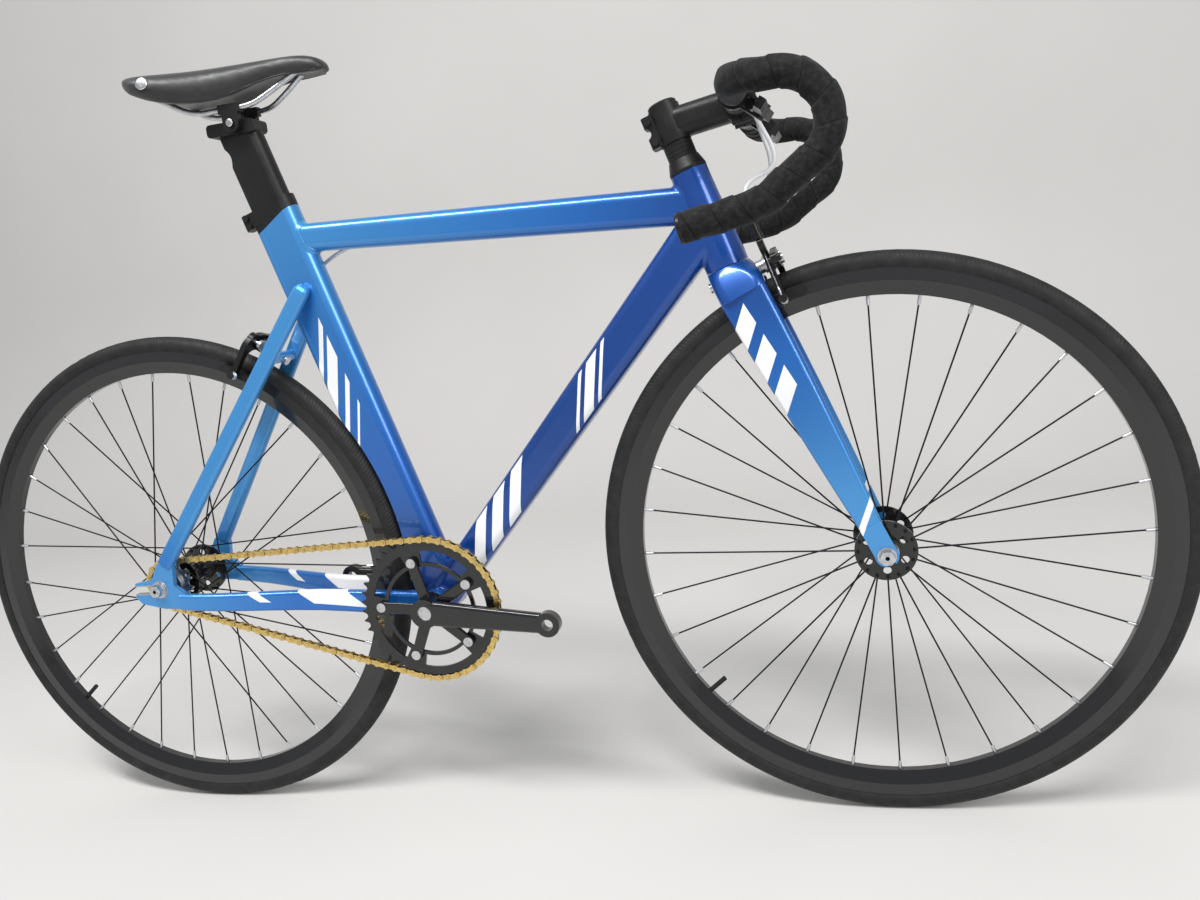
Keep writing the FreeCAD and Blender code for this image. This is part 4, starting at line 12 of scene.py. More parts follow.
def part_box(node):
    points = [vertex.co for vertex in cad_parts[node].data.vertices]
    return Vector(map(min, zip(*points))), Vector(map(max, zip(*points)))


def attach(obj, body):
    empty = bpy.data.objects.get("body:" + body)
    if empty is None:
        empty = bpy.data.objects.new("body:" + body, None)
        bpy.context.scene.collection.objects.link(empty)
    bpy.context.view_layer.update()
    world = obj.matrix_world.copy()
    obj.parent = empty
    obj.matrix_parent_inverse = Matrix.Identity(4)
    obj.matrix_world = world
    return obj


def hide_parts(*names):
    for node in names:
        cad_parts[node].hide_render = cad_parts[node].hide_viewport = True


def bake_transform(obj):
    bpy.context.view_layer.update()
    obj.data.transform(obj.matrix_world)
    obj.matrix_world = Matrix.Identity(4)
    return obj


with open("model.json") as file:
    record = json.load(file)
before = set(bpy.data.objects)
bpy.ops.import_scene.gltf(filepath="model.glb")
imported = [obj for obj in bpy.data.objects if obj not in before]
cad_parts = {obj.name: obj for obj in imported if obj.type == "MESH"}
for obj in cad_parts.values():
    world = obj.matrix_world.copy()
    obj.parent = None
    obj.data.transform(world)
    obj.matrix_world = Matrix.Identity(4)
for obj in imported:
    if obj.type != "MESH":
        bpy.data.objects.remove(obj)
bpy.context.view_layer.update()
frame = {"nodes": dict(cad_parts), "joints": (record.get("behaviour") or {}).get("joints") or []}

bl_info = {
    "name": "Fixed Gear Bike Looks",
    "version": (1, 0, 0),
    "blender": (4, 5, 0),
    "location": "View3D > Sidebar > Bike",
    "description": "Dresses the packed bike: paint, metals, rubber, bar tape, saddle and studio",
    "category": "Object",
}


def middle_of(name):
    return sum(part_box(name), Vector()) / 2


WHEELS = {name: middle_of(name + "_tyre") for name in ("front", "rear")}
BRACKET = middle_of("bottom_bracket_shell")
SIDES = ((-1, "right"), (1, "left"))
WELDED_TUBES = (("top_tube", "seat_tube"), ("top_tube", "head_tube"), ("down_tube", "head_tube"),
                ("down_tube", "bottom_bracket_shell"), ("seat_tube", "bottom_bracket_shell"))
WELDED_STAYS = (("chainstays", "bottom_bracket_shell"),)


# Settings kept on the scene and read by the steps
class BikeCamera(PropertyGroup):
    """Where the photograph was taken from, and with what lens."""
    place: FloatVectorProperty(name="Place", description="Camera position", subtype="TRANSLATION",
                               unit="LENGTH", default=(0.43858, -1.12523, 0.66583))
    yaw: FloatProperty(name="Yaw", description="Turn to the left", subtype="ANGLE", default=-0.2563)
    pitch: FloatProperty(name="Pitch", description="Tilt below the horizon", subtype="ANGLE", default=0.1664)
    roll: FloatProperty(name="Roll", description="Lean of the picture", subtype="ANGLE", default=-0.1184)
    lens: FloatProperty(name="Lens", description="Focal length in millimetres on a 36 mm sensor",
                        default=28.65)


class BikePaint(PropertyGroup):
    """Colours of the faded metallic paint."""
    light: FloatVectorProperty(name="Light", description="Sky blue", subtype="COLOR",
                               default=(0.050, 0.275, 0.62))
    middle: FloatVectorProperty(name="Middle", description="Mid blue", subtype="COLOR",
                                default=(0.010, 0.135, 0.49))
    deep: FloatVectorProperty(name="Deep", description="Royal blue", subtype="COLOR",
                              default=(0.002, 0.060, 0.31))
    white: FloatVectorProperty(name="White", description="Stripes", subtype="COLOR",
                               default=(0.80, 0.81, 0.83))
    flake: FloatProperty(name="Flake", description="Size of a metal flake", unit="LENGTH", default=0.0005)


class BikeWelds(PropertyGroup):
    """Fillets at the frame's joints."""
    leg: FloatProperty(name="Leg", description="How far a fillet runs up a tube", unit="LENGTH",
                       default=0.007)
    stay_share: FloatProperty(name="Stay share", description="Share of that on a stay", default=0.55)
    back: FloatProperty(name="Back", description="Distance from a tube's end to its clear section",
                        unit="LENGTH", default=0.06)
    tube: FloatProperty(name="Tube", description="More than a tube's half height", unit="LENGTH",
                        default=0.06)
    stay: FloatProperty(name="Stay", description="More than a stay's half height", unit="LENGTH",
                        default=0.016)
    sink: FloatProperty(name="Sink", description="How deep the fillet's edges lie", unit="LENGTH",
                        default=0.00025)
    root: FloatProperty(name="Root", description="How deep the weld's hidden root lies", unit="LENGTH",
                        default=0.0008)
    points: IntProperty(name="Points", description="Points round a joint", default=96)
    rows: IntProperty(name="Rows", description="Faces across a fillet", default=6)


class BikeTape(PropertyGroup):
    """Wound tape on the drop bar."""
    radius: FloatProperty(name="Radius", description="Outside of the tape", unit="LENGTH", default=0.0158)
    lap: FloatProperty(name="Lap", description="Height of the step at each turn", unit="LENGTH",
                       default=0.0019)
    pitch: FloatProperty(name="Pitch", description="Distance between turns", unit="LENGTH", default=0.027)
    finish: FloatProperty(name="Finish", description="Width of the closing band", unit="LENGTH", default=0.02)
    sides: IntProperty(name="Sides", description="Points round the tape", default=36)
    step: FloatProperty(name="Step", description="Distance between rings", unit="LENGTH", default=0.0018)


class BikeCables(PropertyGroup):
    """Brake housings and their wires."""
    housing: FloatProperty(name="Housing", description="Radius of the housing", unit="LENGTH", default=0.0025)
    wire: FloatProperty(name="Wire", description="Radius of the bare wire", unit="LENGTH", default=0.0008)
    tail: FloatProperty(name="Tail", description="Radius of the crimped tip", unit="LENGTH", default=0.0014)
    ferrule: FloatProperty(name="Ferrule", description="Length of a turned end", unit="LENGTH", default=0.011)


class BikeSaddle(PropertyGroup):
    """Padded saddle cover."""
    voxel: FloatProperty(name="Voxel", description="Mesh size for the padding", unit="LENGTH", default=0.0045)
    pressure: FloatProperty(name="Pressure", description="How hard the padding swells", default=1.5)
    swell: FloatProperty(name="Swell", description="Most that a point may move", unit="LENGTH",
                         default=0.0035)
    inset: FloatProperty(name="Inset", description="How much smaller the pad starts", unit="LENGTH",
                         default=0.0015)
    piping: FloatProperty(name="Piping", description="Radius of the edge seam", unit="LENGTH", default=0.0012)
    rivet: FloatProperty(name="Rivet", description="Radius of a tail rivet", unit="LENGTH", default=0.008)


class BikeBolts(PropertyGroup):
    """Bright socket bolts."""
    shoe: FloatProperty(name="Shoe", description="Radius of a shoe bolt", unit="LENGTH", default=0.0042)
    clamp: FloatProperty(name="Clamp", description="Radius of a clamp bolt", unit="LENGTH", default=0.005)
    height: FloatProperty(name="Height", description="How far a head stands out", unit="LENGTH",
                          default=0.0035)
    sink: FloatProperty(name="Sink", description="How deep a head sits", unit="LENGTH", default=0.0006)
    outside: FloatProperty(name="Outside", description="Clear of the fitting", unit="LENGTH", default=0.02)


class BikeStudio(PropertyGroup):
    """Floor, backdrop and lamps."""
    floor: FloatVectorProperty(name="Floor", description="Floor colour", subtype="COLOR",
                               default=(0.60, 0.59, 0.57))
    reach: FloatProperty(name="Reach", description="Floor behind the bike", unit="LENGTH", default=1.6)
    bend: FloatProperty(name="Bend", description="Radius of the backdrop's curve", unit="LENGTH", default=0.9)
    height: FloatProperty(name="Height", description="Height of the backdrop", unit="LENGTH", default=6.0)
    key: FloatProperty(name="Key", description="Power of the main lamp in watts", default=180.0)
    fill: FloatProperty(name="Fill", description="Power of the fill lamp in watts", default=62.0)
    sky: FloatProperty(name="Sky", description="Strength of the even light", default=0.48)


class BikeLooks(PropertyGroup):
    """All settings of the looks."""
    camera: PointerProperty(type=BikeCamera)
    paint: PointerProperty(type=BikePaint)
    welds: PointerProperty(type=BikeWelds)
    tape: PointerProperty(type=BikeTape)
    cables: PointerProperty(type=BikeCables)
    saddle: PointerProperty(type=BikeSaddle)
    bolts: PointerProperty(type=BikeBolts)
    studio: PointerProperty(type=BikeStudio)


def looks():
    return bpy.context.scene.bike_looks


# Node materials
class Graph:
    """A material's nodes, with its principled shader's plain sockets set by name."""

    def __init__(self, name, **sockets):
        self.material = bpy.data.materials.new(name)
        self.material.use_nodes = True
        self.tree = self.material.node_tree
        self.shader = self.tree.nodes["Principled BSDF"]
        for key, value in sockets.items():
            self.shader.inputs[key.replace("_", " ")].default_value = value
        self.place = self.add("ShaderNodeTexCoord").outputs["Object"]

    def add(self, kind, inputs=(), **settings):
        node = self.tree.nodes.new(kind)
        for key, value in settings.items():
            setattr(node, key, value)
        for key, value in dict(inputs).items():
            self.join(node.inputs[key], value)
        return node

    def join(self, socket, value):
        if isinstance(value, bpy.types.NodeSocket):
            self.tree.links.new(value, socket)
        else:
            socket.default_value = value

    def feed(self, socket, value):
        self.join(self.shader.inputs[socket], value)

    def math(self, operation, first, second=0.0, third=0.0):
        node = self.add("ShaderNodeMath", {0: first, 1: second, 2: third}, operation=operation)
        return node.outputs[0]

    def vector(self, operation, first, second=(0, 0, 0)):
        node = self.add("ShaderNodeVectorMath", {0: first, 1: second}, operation=operation)
        return node.outputs["Value" if operation in ("DOT_PRODUCT", "LENGTH") else "Vector"]

    def noise(self, size, detail=4.0):
        """Noise whose features are about size metres across."""
        sockets = {"Vector": self.place, "Scale": 1 / size, "Detail": detail}
        return self.add("ShaderNodeTexNoise", sockets).outputs[0]

    def cells(self, size, output="Distance", **settings):
        node = self.add("ShaderNodeTexVoronoi", {"Vector": self.place, "Scale": 1 / size}, **settings)
        return node.outputs[output]

    def between(self, value, low, high, to_low=0.0, to_high=1.0):
        """Value's place between low and high, clamped and carried to another range."""
        sockets = {"Value": value, "From Min": low, "From Max": high, "To Min": to_low, "To Max": to_high}
        return self.add("ShaderNodeMapRange", sockets).outputs[0]

    def ramp(self, value, stops):
        node = self.add("ShaderNodeValToRGB", {"Fac": value})
        spots = node.color_ramp.elements
        while len(spots) < len(stops):
            spots.new(0.5)
        for spot, (position, colour) in zip(spots, stops):
            spot.position = position
            spot.color = (*colour, 1)
        return node.outputs[0]

    def mix(self, share, first, second):
        node = self.add("ShaderNodeMix", {0: share, 6: first, 7: second}, data_type="RGBA")
        return node.outputs[2]

    def bump(self, height, strength, depth):
        """Surface relief; depth is the height in metres that a full step stands for."""
        node = self.add("ShaderNodeBump", {"Height": height, "Strength": strength, "Distance": depth})
        self.feed("Normal", node.outputs[0])

    def along(self, start, end):
        """Share of the way from start to end."""
        run = Vector(end) - Vector(start)
        offset = self.vector("SUBTRACT", self.place, tuple(start))
        return self.vector("DOT_PRODUCT", offset, tuple(run / run.length_squared))

    def across(self, start, end):
        """Distance above the line from start to end, in the bike's middle plane."""
        run = (Vector(end) - Vector(start)).normalized()
        offset = self.vector("SUBTRACT", self.place, tuple(start))
        return self.vector("DOT_PRODUCT", offset, (-run.z, 0.0, run.x))

    def wheel_polar(self, centre):
        """Radius from a wheel's axle, angle round it, and distance to the bike's left."""
        offset = self.vector("SUBTRACT", self.place, tuple(centre))
        flat = self.vector("MULTIPLY", offset, (1, 0, 1))
        ahead, side, up = self.add("ShaderNodeSeparateXYZ", {0: offset}).outputs
        return self.vector("LENGTH", flat), self.math("ARCTAN2", up, ahead), side


def colour(*channels):
    return (*channels, 1.0)


def grey(shade):
    return (shade,) * 3


def dress(graph, *names):
    """Give CAD nodes a material."""
    for name in names:
        for slot in frame["nodes"][name].material_slots:
            slot.material = graph.material


def brake_nodes(kind):
    return ["%s_brake_%s_%s" % (end, kind, label) for end in WHEELS for _, label in SIDES]


# Bare metal on the track ends: the paint's ragged edge, the nuts' reach, the slot's half height and front
BARE_GRAIN, NUT_REACH, SLOT_HALF, SLOT_FRONT = 0.003, 0.0135, 0.0066, 0.010


def slot_wear(graph, axle):
    """Where the axle nuts and the slots have no paint."""
    radius, _, _ = graph.wheel_polar(axle)
    ragged = graph.math("MULTIPLY_ADD", graph.noise(BARE_GRAIN), BARE_GRAIN, radius)
    offset = graph.vector("SUBTRACT", graph.place, tuple(axle))
    ahead, _, up = graph.add("ShaderNodeSeparateXYZ", {0: offset}).outputs
    slot = graph.math("MULTIPLY", graph.math("LESS_THAN", graph.math("ABSOLUTE", up), SLOT_HALF),
                      graph.math("LESS_THAN", ahead, SLOT_FRONT))
    return graph.math("MAXIMUM", graph.math("LESS_THAN", ragged, NUT_REACH), slot)


# Paint: a fade along each tube under a clear coat, with plain stripes on some of them. A stripe is its
# middle and half width, as shares of its tube's length.
SEAT_STRIPES = ((0.36, 0.012), (0.42, 0.028), (0.50, 0.012), (0.56, 0.006))
DOWN_STRIPES = ((0.18, 0.022), (0.25, 0.022), (0.32, 0.022), (0.56, 0.006), (0.60, 0.018), (0.64, 0.006))
STAY_STRIPES = ((0.35, 0.02), (0.62, 0.10))
FORK_STRIPES = ((0.16, 0.035), (0.27, 0.035), (0.38, 0.035), (0.82, 0.012))
FLAKE_WEIGHTS = (0.4, 0.3, 0.3)
PAINT_METAL, PAINT_COAT = 0.45, 0.7
BARE_STEEL = (0.50, 0.50, 0.51)


def paint(name, start, end, stops, stripes=(), slant=0.0, half_height=1.0, bare=None):
    graph = Graph(name, Metallic=PAINT_METAL, Coat_Weight=PAINT_COAT, Coat_Roughness=0.12, Coat_IOR=1.5)
    along = graph.along(start, end)
    base = graph.ramp(along, stops)
    flake = graph.cells(looks().paint.flake, "Color")
    sparkle = graph.between(graph.vector("DOT_PRODUCT", flake, FLAKE_WEIGHTS), 0.0, 1.0, 0.93, 1.07)
    base = graph.add("ShaderNodeVectorMath", {0: base, 3: sparkle}, operation="SCALE").outputs[0]
    roughness = graph.between(graph.noise(0.03), 0.0, 1.0, 0.24, 0.40)
    if stripes:
        rise = graph.across(start, end)
        leaned = graph.math("MULTIPLY_ADD", rise, slant, along)
        mask = 0.0
        for middle, half in stripes:
            mask = graph.math("MAXIMUM", graph.math("COMPARE", leaned, middle, half), mask)
        inside = graph.math("LESS_THAN", graph.math("ABSOLUTE", rise), half_height)
        mask = graph.math("MULTIPLY", mask, inside)
        base = graph.mix(mask, base, colour(*looks().paint.white))
        graph.feed("Metallic", graph.between(mask, 0.0, 1.0, PAINT_METAL, 0.0))
    if bare:
        worn = slot_wear(graph, bare)
        base = graph.mix(worn, base, colour(*BARE_STEEL))
        graph.feed("Metallic", graph.between(worn, 0.0, 1.0, PAINT_METAL, 1.0))
        graph.feed("Coat Weight", graph.between(worn, 0.0, 1.0, PAINT_COAT, 0.0))
    graph.feed("Base Color", base)
    graph.feed("Roughness", roughness)
    graph.bump(graph.noise(0.004, 2.0), 0.05, 0.0002)
    return graph


def black_metal(name, roughness, grain, depth, shade=0.006, coat=0.0):
    graph = Graph(name, Specular_IOR_Level=0.35, Coat_Weight=coat, Coat_Roughness=0.06)
    graph.feed("Base Color", graph.ramp(graph.noise(0.03), [(0.35, grey(shade)), (0.7, grey(shade * 1.7))]))
    graph.feed("Roughness", graph.between(graph.noise(0.012), 0.3, 0.7, roughness - 0.06, roughness + 0.08))
    graph.bump(graph.noise(grain, 2.0), 0.25, depth)
    return graph


def bare_metal(name, tint, roughness):
    graph = Graph(name, Metallic=1.0)
    dark = tuple(channel * 0.72 for channel in tint)
    graph.feed("Base Color", graph.ramp(graph.noise(0.006, 5.0), [(0.3, dark), (0.65, tint)]))
    grain = graph.noise(0.0015, 3.0)
    graph.feed("Roughness", graph.between(grain, 0.3, 0.7, roughness - 0.07, roughness + 0.1))
    graph.bump(graph.noise(0.0008, 2.0), 0.15, 0.0001)
    return graph


def gold_links():
    """Gold plate with painted shade, found by ambient occlusion, where the links meet."""
    graph = bare_metal("gold_links", (0.80, 0.58, 0.21), 0.30)
    plate = graph.shader.inputs["Base Color"].links[0].from_socket
    open_air = graph.add("ShaderNodeAmbientOcclusion", {"Distance": 0.004}, samples=8).outputs["AO"]
    unshaded_share = graph.between(open_air, 0.35, 0.85)
    # Painted shade: a near-black brown is mixed in where the ambient occlusion finds the crevices between
    # links.
    graph.feed("Base Color", graph.mix(unshaded_share, colour(0.030, 0.017, 0.004), plate))
    return graph


def rubber(name, shade=0.008, grain=0.0012, roughness=0.72):
    graph = Graph(name, Specular_IOR_Level=0.25)
    graph.feed("Base Color", graph.ramp(graph.noise(0.02), [(0.3, grey(shade)), (0.7, grey(shade * 1.8))]))
    graph.feed("Roughness", graph.between(graph.noise(0.008), 0.3, 0.7, roughness - 0.08, roughness + 0.1))
    graph.bump(graph.noise(grain), 0.3, 0.0002)
    return graph


class BIKE_OT_paint(Operator):
    """Fade each painted tube from sky blue to royal blue, with plain white stripes"""
    bl_idname = "bike.paint"
    bl_label = "Paint the frame and fork"

    def execute(self, context):
        sizes = looks().paint
        light, middle, deep = (tuple(shade) for shade in (sizes.light, sizes.middle, sizes.deep))
        head = middle_of("head_tube")
        seat_low, seat_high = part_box("seat_tube")
        top = Vector((seat_low.x, 0, seat_high.z))
        crown = middle_of("fork_crown")
        fork_low = Vector((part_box("fork_blades")[1].x, 0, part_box("fork_blades")[0].z))
        fork_top = Vector((crown.x, 0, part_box("fork_blades")[1].z))
        rear = WHEELS["rear"]
        dress(paint("paint_seat_tube", top, BRACKET, [(0.0, light), (0.55, middle), (0.95, deep)],
                    stripes=SEAT_STRIPES, slant=3.0, half_height=0.021), "seat_tube")
        dress(paint("paint_top_tube", top, head, [(0.1, light), (0.75, middle), (1.0, deep)]), "top_tube")
        darkest = tuple(0.8 * channel for channel in deep)
        dress(paint("paint_down_tube", BRACKET, head, [(0.0, deep), (0.45, darkest), (1.0, deep)],
                    stripes=DOWN_STRIPES, slant=-2.6, half_height=0.020), "down_tube")
        dress(paint("paint_head_tube", crown, head, [(0.0, deep), (1.0, deep)]), "head_tube")
        dress(paint("paint_seatstays", rear, top, [(0.0, middle), (0.2, light), (1.0, light)]), "seatstays")
        dress(paint("paint_chainstays", rear, BRACKET, [(0.0, light), (0.5, middle), (1.0, middle)],
                    stripes=STAY_STRIPES, slant=4.0, half_height=0.010), "chainstays")
        dress(paint("paint_shell", rear, BRACKET, [(0.0, middle), (1.0, middle)]), "bottom_bracket_shell")
        dress(paint("paint_track_ends", rear, BRACKET, [(0.0, light), (1.0, middle)], bare=rear),
              "track_ends")
        dress(paint("paint_fork", fork_top, fork_low, [(0.0, deep), (0.3, middle), (0.75, light)],
                    stripes=FORK_STRIPES, slant=2.2, half_height=0.017), "fork_blades")
        dress(paint("paint_crown", crown, fork_low, [(0.0, deep), (1.0, middle)]), "fork_crown")
        return {"FINISHED"}


class BIKE_OT_metals(Operator):
    """Give every metal fitting its own finish"""
    bl_idname = "bike.metals"
    bl_label = "Finish the metal fittings"

    def execute(self, context):
        dress(black_metal("satin_black", 0.42, 0.0009, 0.00015), "seatpost", "seat_clamp", "headset_cover",
              "stem", "stem_faceplate", "stem_bolts", "top_cap", "handlebar", "saddle_clamp")
        dress(black_metal("lever_black", 0.30, 0.002, 0.0001), "lever_clamps", "brake_lever_right",
              "brake_lever_left")
        dress(black_metal("caliper_black", 0.34, 0.0015, 0.0001), *brake_nodes("arm"))
        dress(black_metal("crank_black", 0.22, 0.003, 0.0001, 0.004, 0.6), "crank_right", "crank_left",
              "chainring")
        dress(bare_metal("silver_steel", (0.66, 0.67, 0.69), 0.28), "headset_bearings",
              "bottom_bracket_cartridge", "spindle", "front_axle", "rear_axle", "cog", "lockring",
              "saddle_rails", "crank_bolts", "front_brake_bracket", "rear_brake_bracket")
        dress(gold_links(), "chain")
        return {"FINISHED"}


# Wheels: rings of finish measured from each axle. The tread's edges are shares of the tyre's half width.
TREAD_LEAN, TREAD_ROWS = 900.0, 420.0
SLICK_SHARE, FULL_TREAD_SHARE, TREAD_END_SHARE = 0.12, 0.3, 0.93
BRAKE_TRACK, TRACK_RINGS, NIPPLE = 0.0135, 9000.0, 0.0155


def tyre_rubber(name, centre):
    """Slick crown with a fine file tread on the shoulders."""
    graph = Graph(name, Specular_IOR_Level=0.3)
    _, turn, side = graph.wheel_polar(centre)
    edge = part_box("front_tyre")[1].y
    side = graph.math("ABSOLUTE", side)
    lean = graph.math("MULTIPLY_ADD", side, TREAD_LEAN, graph.math("MULTIPLY", turn, TREAD_ROWS))
    depth = graph.between(side, edge * SLICK_SHARE, edge * FULL_TREAD_SHARE)
    groove = graph.math("MULTIPLY", graph.math("SINE", lean), depth)
    height = graph.math("MULTIPLY", groove, graph.math("LESS_THAN", side, edge * TREAD_END_SHARE))
    graph.feed("Base Color", graph.ramp(graph.noise(0.015), [(0.3, grey(0.010)), (0.75, grey(0.019))]))
    graph.feed("Roughness", graph.between(graph.noise(0.01), 0.3, 0.7, 0.52, 0.72))
    graph.bump(graph.math("ADD", height, graph.noise(0.001)), 0.35, 0.0004)
    return graph


def rim_black(name, centre):
    """Gloss black rim whose brake track is turned to a satin band."""
    graph = Graph(name, Specular_IOR_Level=0.4, Coat_Weight=0.7, Coat_Roughness=0.05)
    radius, _, _ = graph.wheel_polar(centre)
    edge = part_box("front_rim")[1].x - WHEELS["front"].x
    track = graph.math("GREATER_THAN", radius, edge - BRAKE_TRACK)
    graph.feed("Base Color", graph.mix(track, colour(0.003, 0.003, 0.0035), colour(0.007, 0.007, 0.008)))
    graph.feed("Roughness", graph.between(track, 0.0, 1.0, 0.20, 0.36))
    rings = graph.math("SINE", graph.math("MULTIPLY", radius, TRACK_RINGS))
    graph.bump(graph.math("MULTIPLY", rings, track), 0.12, 0.0001)
    return graph


def spoke_black(name, centre):
    """Black spokes with bright nipples at the rim."""
    graph = Graph(name, Metallic=0.9)
    radius, _, _ = graph.wheel_polar(centre)
    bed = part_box("front_spokes")[1].x - WHEELS["front"].x
    nipple = graph.math("GREATER_THAN", radius, bed - NIPPLE)
    graph.feed("Base Color", graph.mix(nipple, colour(0.018, 0.018, 0.020), colour(0.62, 0.62, 0.64)))
    graph.feed("Roughness", graph.between(graph.noise(0.004), 0.3, 0.7, 0.26, 0.4))
    return graph


class BIKE_OT_wheels(Operator):
    """Finish tyres, rims, spokes, hubs, tubes and shoes"""
    bl_idname = "bike.wheels"
    bl_label = "Finish the wheels"

    def execute(self, context):
        for name, centre in WHEELS.items():
            dress(tyre_rubber(name + "_tyre_rubber", centre), name + "_tyre")
            dress(rim_black(name + "_rim_black", centre), name + "_rim")
            dress(spoke_black(name + "_spoke_black", centre), name + "_spokes")
        dress(black_metal("hub_black", 0.2, 0.003, 0.0001, 0.004, 0.5), "front_hub", "rear_hub")
        dress(rubber("tube_rubber", 0.01), "front_inner_tube", "rear_inner_tube")
        dress(rubber("shoe_rubber", 0.01, 0.002), *brake_nodes("shoe"))
        return {"FINISHED"}


# Meshes
def skin(name):
    """Search tree of a CAD node's faces."""
    mesh = frame["nodes"][name].data
    spots = [vert.co for vert in mesh.vertices]
    return BVHTree.FromPolygons(spots, [tuple(face.vertices) for face in mesh.polygons])


def linked(name, data):
    """New object of the scene."""
    item = bpy.data.objects.new(name, data)
    bpy.context.collection.objects.link(item)
    return item


def shade_smooth(mesh):
    for polygon in mesh.polygons:
        polygon.use_smooth = True


def new_piece(name, verts, faces, body, graph, replaces=()):
    mesh = bpy.data.meshes.new(name)
    mesh.from_pydata([tuple(vert) for vert in verts], [], faces)
    mesh.validate()
    shade_smooth(mesh)
    mesh.materials.append(graph.material)
    piece = linked(name, mesh)
    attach(piece, body)
    if replaces:
        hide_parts(*replaces)
    return piece


def ring_faces(rings, sides, closed_ends=True):
    """Quads between rings of points, and a fan on each end."""
    faces = []
    for ring in range(rings - 1):
        for side in range(sides):
            following = (side + 1) % sides
            faces.append((ring * sides + side, ring * sides + following, (ring + 1) * sides + following,
                          (ring + 1) * sides + side))
    if closed_ends:
        faces.append(tuple(reversed(range(sides))))
        faces.append(tuple((rings - 1) * sides + side for side in range(sides)))
    return faces


def rounded_line(points, radii, step):
    """Even points along straight runs joined by tangent arcs."""
    dense = [points[0]]
    for k, radius in enumerate(radii, 1):
        back = (points[k - 1] - points[k]).normalized()
        onward = (points[k + 1] - points[k]).normalized()
        half = back.angle(onward) / 2
        centre = points[k] + (back + onward).normalized() * (radius / math.sin(half))
        first = points[k] + back * (radius / math.tan(half))
        last = points[k] + onward * (radius / math.tan(half))
        turn = math.pi - 2 * half
        axis = (first - centre).cross(last - centre).normalized()
        count = max(3, round(radius * turn / step))
        dense.append(first)
        arm = first - centre
        dense += [centre + Matrix.Rotation(turn * n / count, 3, axis) @ arm for n in range(1, count + 1)]
    dense.append(points[-1])
    even, carried = [dense[0]], 0.0
    for start, end in zip(dense, dense[1:]):
        run = (end - start).length
        spot = step - carried
        while spot <= run:
            even.append(start.lerp(end, spot / run))
            spot += step
        carried = run - (spot - step)
    return even + [dense[-1]]


# Welds: a smooth fillet where each tube meets its neighbour
class BIKE_OT_welds(Operator):
    """Lay a smooth fillet of weld round each joint of the frame"""
    bl_idname = "bike.welds"
    bl_label = "Weld the frame"

    def execute(self, context):
        sizes = looks().welds
        for tube, neighbour in WELDED_TUBES:
            self.weld("weld_%s_%s" % (tube, neighbour), tube, neighbour, 0, sizes.tube, sizes)
        for stay, neighbour in WELDED_STAYS:
            for side, label in SIDES:
                self.weld("weld_%s_%s" % (stay, label), stay, neighbour, side, sizes.stay, sizes)
        return {"FINISHED"}

    @staticmethod
    def joint_line(tube, neighbour, side, throw, sizes):
        """Points round a tube's end with the way out at each, the tube's axis and its neighbour's faces."""
        verts = frame["nodes"][tube].data.vertices
        spots = numpy.array([vert.co for vert in verts if not side or vert.co.y * side > 0])
        middle = spots.mean(axis=0)
        axis = Vector(numpy.linalg.svd(spots - middle, full_matrices=False)[2][0])
        middle = Vector(middle)
        if axis.dot(middle_of(neighbour) - middle) < 0:
            axis.negate()
        reach = max(axis.dot(Vector(spot) - middle) for spot in spots)
        centre = middle + axis * (reach - sizes.back)
        out = Vector((0, 1, 0)).cross(axis).normalized()
        wide = axis.cross(out)
        own, other = skin(tube), skin(neighbour)
        for direction in (out, wide, out, wide):
            hits = [own.ray_cast(centre + direction * (throw * way), -direction * way)[0] for way in (1, -1)]
            centre += direction * direction.dot(sum(hits, Vector()) / 2 - centre)
        line = []
        for k in range(sizes.points):
            angle = 2 * math.pi * k / sizes.points
            way = out * math.cos(angle) + wide * math.sin(angle)
            edge = own.ray_cast(centre + way * throw, -way)[0]
            hit = edge and other.ray_cast(edge, axis)[0]
            if hit:
                line.append((hit, way))
        return line, axis, other

    def weld(self, name, tube, neighbour, side, throw, sizes):
        line, axis, other = self.joint_line(tube, neighbour, side, throw, sizes)
        leg = sizes.leg * (sizes.stay_share if side else 1.0)
        verts = []
        for hit, way in line:
            start = hit - axis * leg - way * sizes.sink
            landing, normal, _, _ = other.find_nearest(hit + way * leg)
            end = landing - normal * sizes.sink
            for k in range(sizes.rows + 1):
                share = k / sizes.rows
                verts.append(start * (1 - share) ** 2 + hit * (2 * share * (1 - share)) + end * share ** 2)
            verts.append(hit + (axis - way) * sizes.root)
        sides = sizes.rows + 2
        faces = ring_faces(len(line), sides, False)
        last = (len(line) - 1) * sides
        faces += [(last + k, last + (k + 1) % sides, (k + 1) % sides, k) for k in range(sides)]
        paint_used = frame["nodes"][tube].material_slots[0]
        new_piece(name, verts, faces, "frame", paint_used)


# Bar tape: the bar's middle line as shares of its reach and drop
BAR = Vector((0.349449, 0.0, 0.850052))
BAR_REACH, BAR_DROP, BAR_HALF, TAPER_END, TAPE_START = 0.100, 0.137, 0.200, 0.052, 0.084
BAR_SHARES = ((0.08, -0.058), (1.0, -0.10), (0.94, -0.57), (0.28, -0.912), (-0.475, -1.0))
BAR_BEND_SHARES = (0.3, 0.33, 0.22, 0.58)
TAPE_TURNS = "turns"
# Each turn of tape rises in a share of its pitch and then falls, with soft sags; the end band ripples
LAP_RISE_SHARE, LAP_FALL_SHARE = 0.08, 0.75
SAG, SAG_LOBES, SAG_RATE = 0.0004, 5, 130
RIPPLE, RIPPLE_RATE = 0.0001, 900


